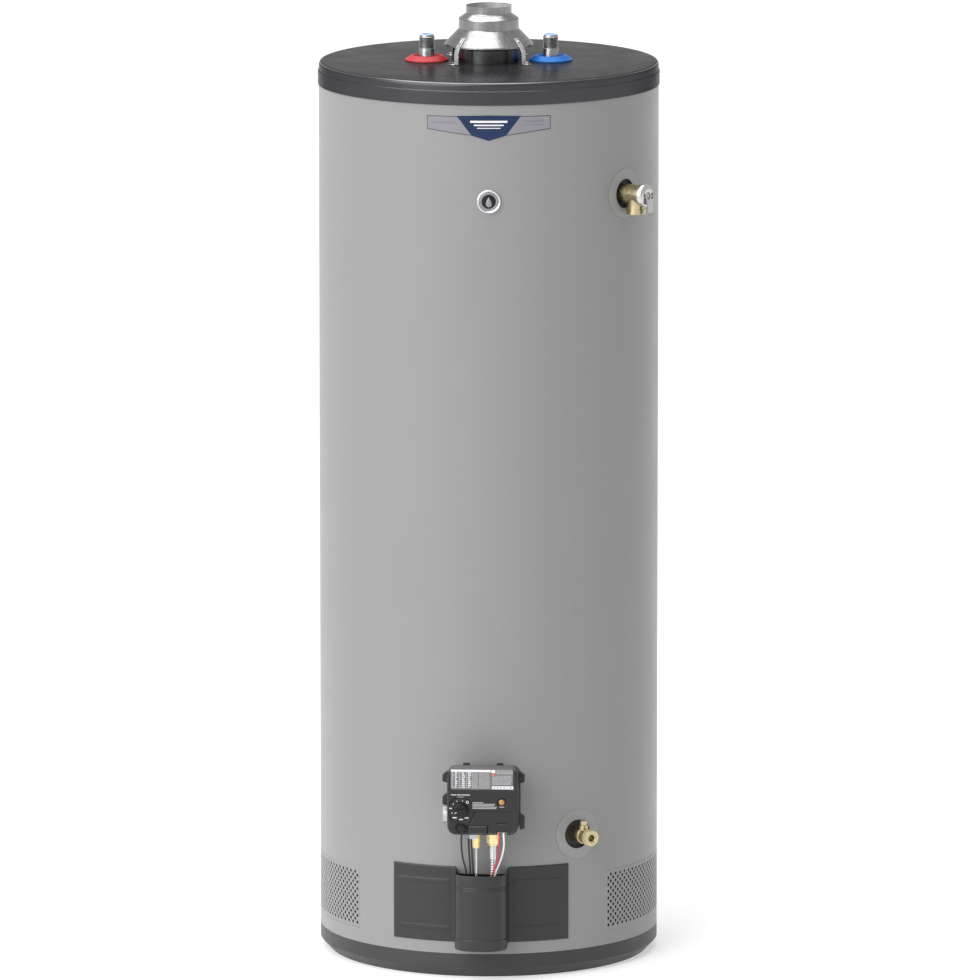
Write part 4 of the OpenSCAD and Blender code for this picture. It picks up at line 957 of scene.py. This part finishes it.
prof = [(0.0, 0.3), (11.6, 0.3), (12.0, 0.7), (12.0, 3.3), (11.6, 4.1), (10.5, 4.6), (10.3, 6.9), (9.8, 7.4),
        (0.0, 7.4)]
knob = Shape().lathe(prof, KNOB_SEGS, knob_place, dent=fluted)
knob.prism(round_rect(20.6, 4.6, 1.8, 5, 2), 7.0, 10.8, knob_place)
knob.lathe([(0, KNOB_SHAFT_END), (KNOB_SHAFT_R, KNOB_SHAFT_END), (KNOB_SHAFT_R, 0.6)], 32, knob_place)
knob.make("control_knob", "knob_plastic", body="temperature_knob", replaces=["temperature_knob"],
          bevel=0.35, smooth_angle=35)
pointer = Shape().block((6.2, -0.5, 10.75), (10.0, 0.5, 10.95), knob_place @ turned(200))
pointer.make("knob_pointer", "mark_white", "knob_plastic", body="temperature_knob")

lens_place = FACE @ Matrix.Translation((LENS[0], LENS[1], 0))
lens_profile = [(0, -4), (4.7, -4), (4.7, 0.2), (4.5, 0.7), (3.6, 1.4), (2.0, 1.85), (0, 2.0)]
lens = Shape().lathe(lens_profile, 40, lens_place)
lens.make("lamp_lens", "lens_amber", replaces=["status_lens"], smooth_angle=50)
bezel_profile = [(4.9, -1.2), (6.0, -1.2), (6.0, 0.05), (5.5, 0.3), (4.9, 0.05)]
bezel = Shape().lathe(bezel_profile, 40, lens_place, closed=True)
bezel.make("lamp_bezel", "housing_plastic", "control_plastic", smooth_angle=50)

for name, width, segments in (("igniter_button", 0.7, 3), ("gas_control_housing", 0.8, 2),
                              ("gas_control_body", 1.2, 3), ("wire_connector", 0.5, 2), ("tube_nuts", 0.5, 2),
                              ("gas_control_shank", 0.5, 2)):
    soften(name, width, segments)

# ---- tubes and wires, on the CAD's routes
BURNER = turned(BURNER_AZ)


def route(points):
    return [(x, -r, z) for x, r, z in points]


FITTING_Z = CONTROL_Z - 62
ENTRY = 110
PILOT_X, BURNER_X = CONTROL_X - 12.6, CONTROL_X + 14.4
PILOT_TUBE_R, BURNER_TUBE_R = 2.0, 5.4
RIB_START, RIB_END, RIB_PITCH, RIB_ROOT, RIB_DEPTH = 46, 178, 4.2, 4.35, 1.05
WIRE_R = 1.5
pilot = route((PILOT_X, r, z) for r, z in (
    (330, FITTING_Z), (330, 215), (330, 170), (327, 140), (312, 119), (290, ENTRY), (250, ENTRY),
    (180, ENTRY)))
v, f = tube(pilot, PILOT_TUBE_R, 16, 8, BURNER)
add("pilot_gas_tube", v, f, "tube_aluminium", replaces=["pilot_tube"], smooth_angle=60)
main = route((BURNER_X, r, z) for r, z in (
    (322, FITTING_Z), (322, 210), (322, 160), (318, 133), (305, 116), (284, ENTRY), (250, ENTRY),
    (180, ENTRY)))


def ribbed(run):
    """The burner tube is ribbed along its flexible middle."""
    if run < RIB_START or run > RIB_END:
        return BURNER_TUBE_R
    wave = 0.5 + 0.5 * math.cos(2 * math.pi * (run - RIB_START) / RIB_PITCH)
    return RIB_ROOT + RIB_DEPTH * wave ** 1.4


v, f = tube(main, BURNER_TUBE_R, 24, 10, BURNER, ribbed)
add("burner_gas_tube", v, f, "tube_aluminium", replaces=["burner_tube"], smooth_angle=75)


def lead(name, node, mat, points):
    """A wire from the control into the chamber."""
    points = route(points)
    v, f = tube(points, WIRE_R, 14, 8, BURNER)
    piece = add(name, v, f, mat, replaces=[node], smooth_angle=60)


lead("igniter_lead", "igniter_wire", "wire_black", [
    (-26, 344, 258), (-27, 343, 240), (-25, 339, 215), (-20, 333, 192), (-19, 327.5, 168), (-20, 322, 142),
    (-21, 310, 121), (-22, 290, ENTRY), (-22, 250, ENTRY), (-22, 190, ENTRY)])
lead("red_lead", "red_wire", "wire_red", [
    (36.5, 372, 263), (36.3, 371, 252), (35.2, 362, 236), (32.5, 349, 215), (27, 338, 197), (23, 333.2, 184),
    (21.5, 332.5, 168), (22.5, 331, 150), (27, 326, 133), (31.5, 312, 118), (33, 288, ENTRY),
    (33, 250, ENTRY), (33, 190, ENTRY)])
lead("white_lead", "white_wire", "wire_white", [
    (43.5, 372, 263), (44, 371, 252), (43.8, 364, 240), (40.5, 352, 222), (34.5, 340, 204), (28.5, 332, 188),
    (26, 331.5, 170), (27.5, 330.5, 152), (31.5, 325, 134), (36, 311, 118), (37.5, 287, ENTRY),
    (37.5, 250, ENTRY), (37.5, 190, ENTRY)])
for name, shift in (("sensor_lead_left", 1), ("sensor_lead_right", 0)):
    lead(name, "sensor_wires", "wire_black", [
        (-10.5 - 4.7 * shift, 342, 246.8), (-10 - 4.7 * shift, 341, 232), (-9 - 4.6 * shift, 337, 210),
        (-8 - 4.6 * shift, 333, 190), (-8.4 - 4.5 * shift, 326, 165), (-9 - 4.5 * shift, 320, 141),
        (-9 - 4.5 * shift, 309, 120), (-9 - 4.5 * shift, 288, ENTRY), (-9 - 4.5 * shift, 250, ENTRY),
        (-9 - 4.5 * shift, 190, ENTRY)])


# ---- access cover
WING_COLS, WING_ROWS = 96, 110


def wing_lift(d_far, d_near, z):
    """Height of the wing's face, from the distances to its far and near ends."""
    d_end = min(d_far, z - COVER_Z0, COVER_Z1 - z)
    h = 1.5 - 1.2 * (1 - min(1, d_end / 1.4)) ** 2
    # a raised frame around a slightly lower panel, and a flange beside the channel
    z0, z1 = COVER_Z0 + 19, COVER_Z1 - 22
    beside = step(d_near, 9.0, 1.6)
    h += 0.55 * step(d_far, 8.0, 1.6) * step(z, z0, 1.8) * (1 - step(z, z1, 1.8)) * beside
    h -= 0.4 * step(d_far, 15.5, 1.6) * step(z, z0 + 7, 1.8) * (1 - step(z, z1 - 7, 1.8)) * beside
    return h + 0.7 * (1 - step(d_near, 4.5, 1.4))


def cover_wing(a0, a1):
    """Half of the curved cover, with a raised frame and rolled edges. Angles are about the burner's line."""
    v, f = [], []
    far, near = (a0, a1) if abs(a0) > abs(a1) else (a1, a0)

    def at(a, z, r):
        q = math.radians(a + BURNER_AZ)
        v.append((r * math.sin(q), -r * math.cos(q), z))
        return len(v) - 1

    def arc(a, b):
        return abs(math.radians(a) - math.radians(b)) * COVER_R

    angles = [a0 + (a1 - a0) * j / WING_COLS for j in range(WING_COLS + 1)]
    heights = [COVER_Z0 + (COVER_Z1 - COVER_Z0) * i / WING_ROWS for i in range(WING_ROWS + 1)]
    grid = [[at(a, z, COVER_R + wing_lift(arc(a, far), arc(a, near), z)) for a in angles] for z in heights]
    back = [[at(a, z, COVER_R) for a in angles] for z in heights]
    for i in range(WING_ROWS):
        for j in range(WING_COLS):
            f.append((grid[i][j], grid[i][j + 1], grid[i + 1][j + 1], grid[i + 1][j]))
            f.append((back[i][j], back[i + 1][j], back[i + 1][j + 1], back[i][j + 1]))
    for i in range(WING_ROWS):
        for j in (0, WING_COLS):
            f.append((grid[i][j], grid[i + 1][j], back[i + 1][j], back[i][j]))
    for j in range(WING_COLS):
        for i in (0, WING_ROWS):
            f.append((grid[i][j], grid[i][j + 1], back[i][j + 1], back[i][j]))
    return v, f


edge_l = math.degrees(math.asin((CHANNEL_X - CHANNEL_W / 2 - 0.1) / COVER_R))
edge_r = math.degrees(math.asin((CHANNEL_X + CHANNEL_W / 2 + 0.1) / COVER_R))
wings = Shape()
for a0, a1 in ((-DOOR_SPAN, edge_l), (edge_r, DOOR_SPAN)):
    wings.put(*cover_wing(a0, a1))
wings.make("cover_wings", "cover_paint", body="access_cover", replaces=["access_cover"],
           smooth_angle=50)


CHANNEL_Z0, CHANNEL_Z1 = COVER_Z0 - 3, COVER_Z1 - 3
CHANNEL_ROUND = 36.0
CHANNEL_WALL = 1.6
CHANNEL_REACH = JACKET_R + 65
FRONT_POWER = 2.5
PRESSED_LINE = 0.42


def channel_plan():
    """Plan outline of the channel's outer face: two straight sides and a rounded front."""
    half, straight = CHANNEL_W / 2, CHANNEL_REACH - CHANNEL_ROUND
    side_steps, front_steps = 14, 60
    edge = math.sqrt(COVER_R ** 2 - half ** 2)
    side = [edge + (straight - edge) * k / side_steps for k in range(side_steps)]
    front = []
    for k in range(front_steps + 1):
        a = math.pi * (1 - k / front_steps)
        c, s = math.cos(a), math.sin(a)
        x = half * math.copysign(abs(c) ** (2 / FRONT_POWER), c)
        front.append((x, straight + CHANNEL_ROUND * abs(s) ** (2 / FRONT_POWER)))
    return [(-half, y) for y in side] + front + [(half, y) for y in reversed(side)]


def channel():
    """The wire channel: rounded front, rolled rim and three pressed lines."""
    outer = channel_plan()
    n = len(outer)
    inner = []
    for i, p in enumerate(outer):
        t = (Vector(outer[min(i + 1, n - 1)]) - Vector(outer[max(i - 1, 0)])).normalized()
        inner.append((p[0] + t.y * CHANNEL_WALL, p[1] - t.x * CHANNEL_WALL))
    v, f = [], []

    def row(z, mix):
        v.extend((ox + (ix - ox) * mix + CHANNEL_X, -oy - (iy - oy) * mix, z)
                 for (ox, oy), (ix, iy) in zip(outer, inner))
        return len(v) - n

    levels = [(CHANNEL_Z0, 0.75), (CHANNEL_Z0 + 0.25, 0.35), (CHANNEL_Z0 + 0.9, 0.1), (CHANNEL_Z0 + 2.0, 0.0)]
    for centre in (CHANNEL_Z0 + 19, CHANNEL_Z1 - 24, CHANNEL_Z1 - 20):
        levels += [(centre + dz, groove(dz, 0.7, PRESSED_LINE))
                   for dz in (-1.9, -1.3, -0.8, -0.4, 0, 0.4, 0.8, 1.3, 1.9)]
    levels += [(CHANNEL_Z1 + dz, inset) for dz, inset in ((-1.2, 0.0), (-0.5, 0.08), (-0.1, 0.25), (0, 0.45))]
    rows = [row(z, mix) for z, mix in levels]
    floor_row = row(CHANNEL_Z0 + 2, 1.0)
    rows += [row(z, 1.0) for z in (CHANNEL_Z1 - 0.4, CHANNEL_Z1 - 4, CHANNEL_Z0 + 60)] + [floor_row]
    for a, b in zip(rows, rows[1:]):
        f += [(a + i, a + i + 1, b + i + 1, b + i) for i in range(n - 1)]
    f.append(tuple(range(rows[0], rows[0] + n)))
    f.append(tuple(range(floor_row, floor_row + n))[::-1])
    f.append(tuple(rows))
    f.append(tuple(r + n - 1 for r in rows)[::-1])
    f.append((rows[0], rows[0] + n - 1, floor_row + n - 1, floor_row))
    return v, f


v, f = channel()
add("channel_shell", v, f, "cover_paint", body="access_cover", place=BURNER, replaces=["wire_channel"],
    smooth_angle=50)

for name in ("inner_door", "pipe_grommet"):
    soften(name, 0.4)

# ---- stage, light and camera
floor_mat = material("floor_pale", (0.55, 0.55, 0.55), 0.8, drift=0.004, patches=0.5, grain=0.01,
                     fineness=60)
# The floor is a light table, which keeps the shadow on it faint.
set_inputs(floor_mat.node_tree.nodes["Principled BSDF"],
           {"Emission Color": (1, 1, 1, 1), "Emission Strength": 0.46})
FLOOR_HALF = 70.0
corners = [(x * FLOOR_HALF, y * FLOOR_HALF, 0) for x, y in ((-1, -1), (1, -1), (1, 1), (-1, 1))]
floor_mesh = bpy.data.meshes.new("floor")
floor_mesh.from_pydata(corners, [], [(0, 1, 2, 3)])
floor_mesh.materials.append(floor_mat)
placed("floor", floor_mesh)

world = bpy.data.worlds.new("studio")
scene.world = world
world.use_nodes = True
set_inputs(world.node_tree.nodes["Background"], {"Color": (1, 1, 1, 1), "Strength": 0.69})

# The key light comes from the front left, soft as a large window.
KEY_EL = math.radians(30)
sun = bpy.data.lights.new("key", "SUN")
sun.energy = 2.9
sun.angle = math.radians(60)
key = placed("key", sun)
towards_key = outward(-45, math.cos(KEY_EL), math.sin(KEY_EL)).translation
key.rotation_euler = towards_key.to_track_quat("Z", "Y").to_euler()

# A soft box overhead lights the flared hood and the cap's rim.
BOX_PLACE, BOX_AIM = Vector((-0.45, 0.1, 4.2)), Vector((0, 0, 1.4))
box_light = bpy.data.lights.new("softbox", "AREA")
box_light.shape = "RECTANGLE"
box_light.size, box_light.size_y = 3.2, 3.0
box_light.energy = 112
softbox = placed("softbox", box_light)
softbox.location = BOX_PLACE
softbox.rotation_euler = (BOX_PLACE - BOX_AIM).to_track_quat("Z", "Y").to_euler()

CAMERA_DOWN = 9.78
cam_data = bpy.data.cameras.new("camera")
cam_data.lens = 422.45
cam_data.sensor_width = 36.0
cam_data.clip_end = 300
cam = placed("camera", cam_data)
cam.location = (0.002, -18.737, 3.995)
cam.rotation_euler = (math.radians(90 - CAMERA_DOWN), 0, 0)
scene.camera = cam
scene.view_settings.view_transform = "Standard"
scene.view_settings.look = "None"
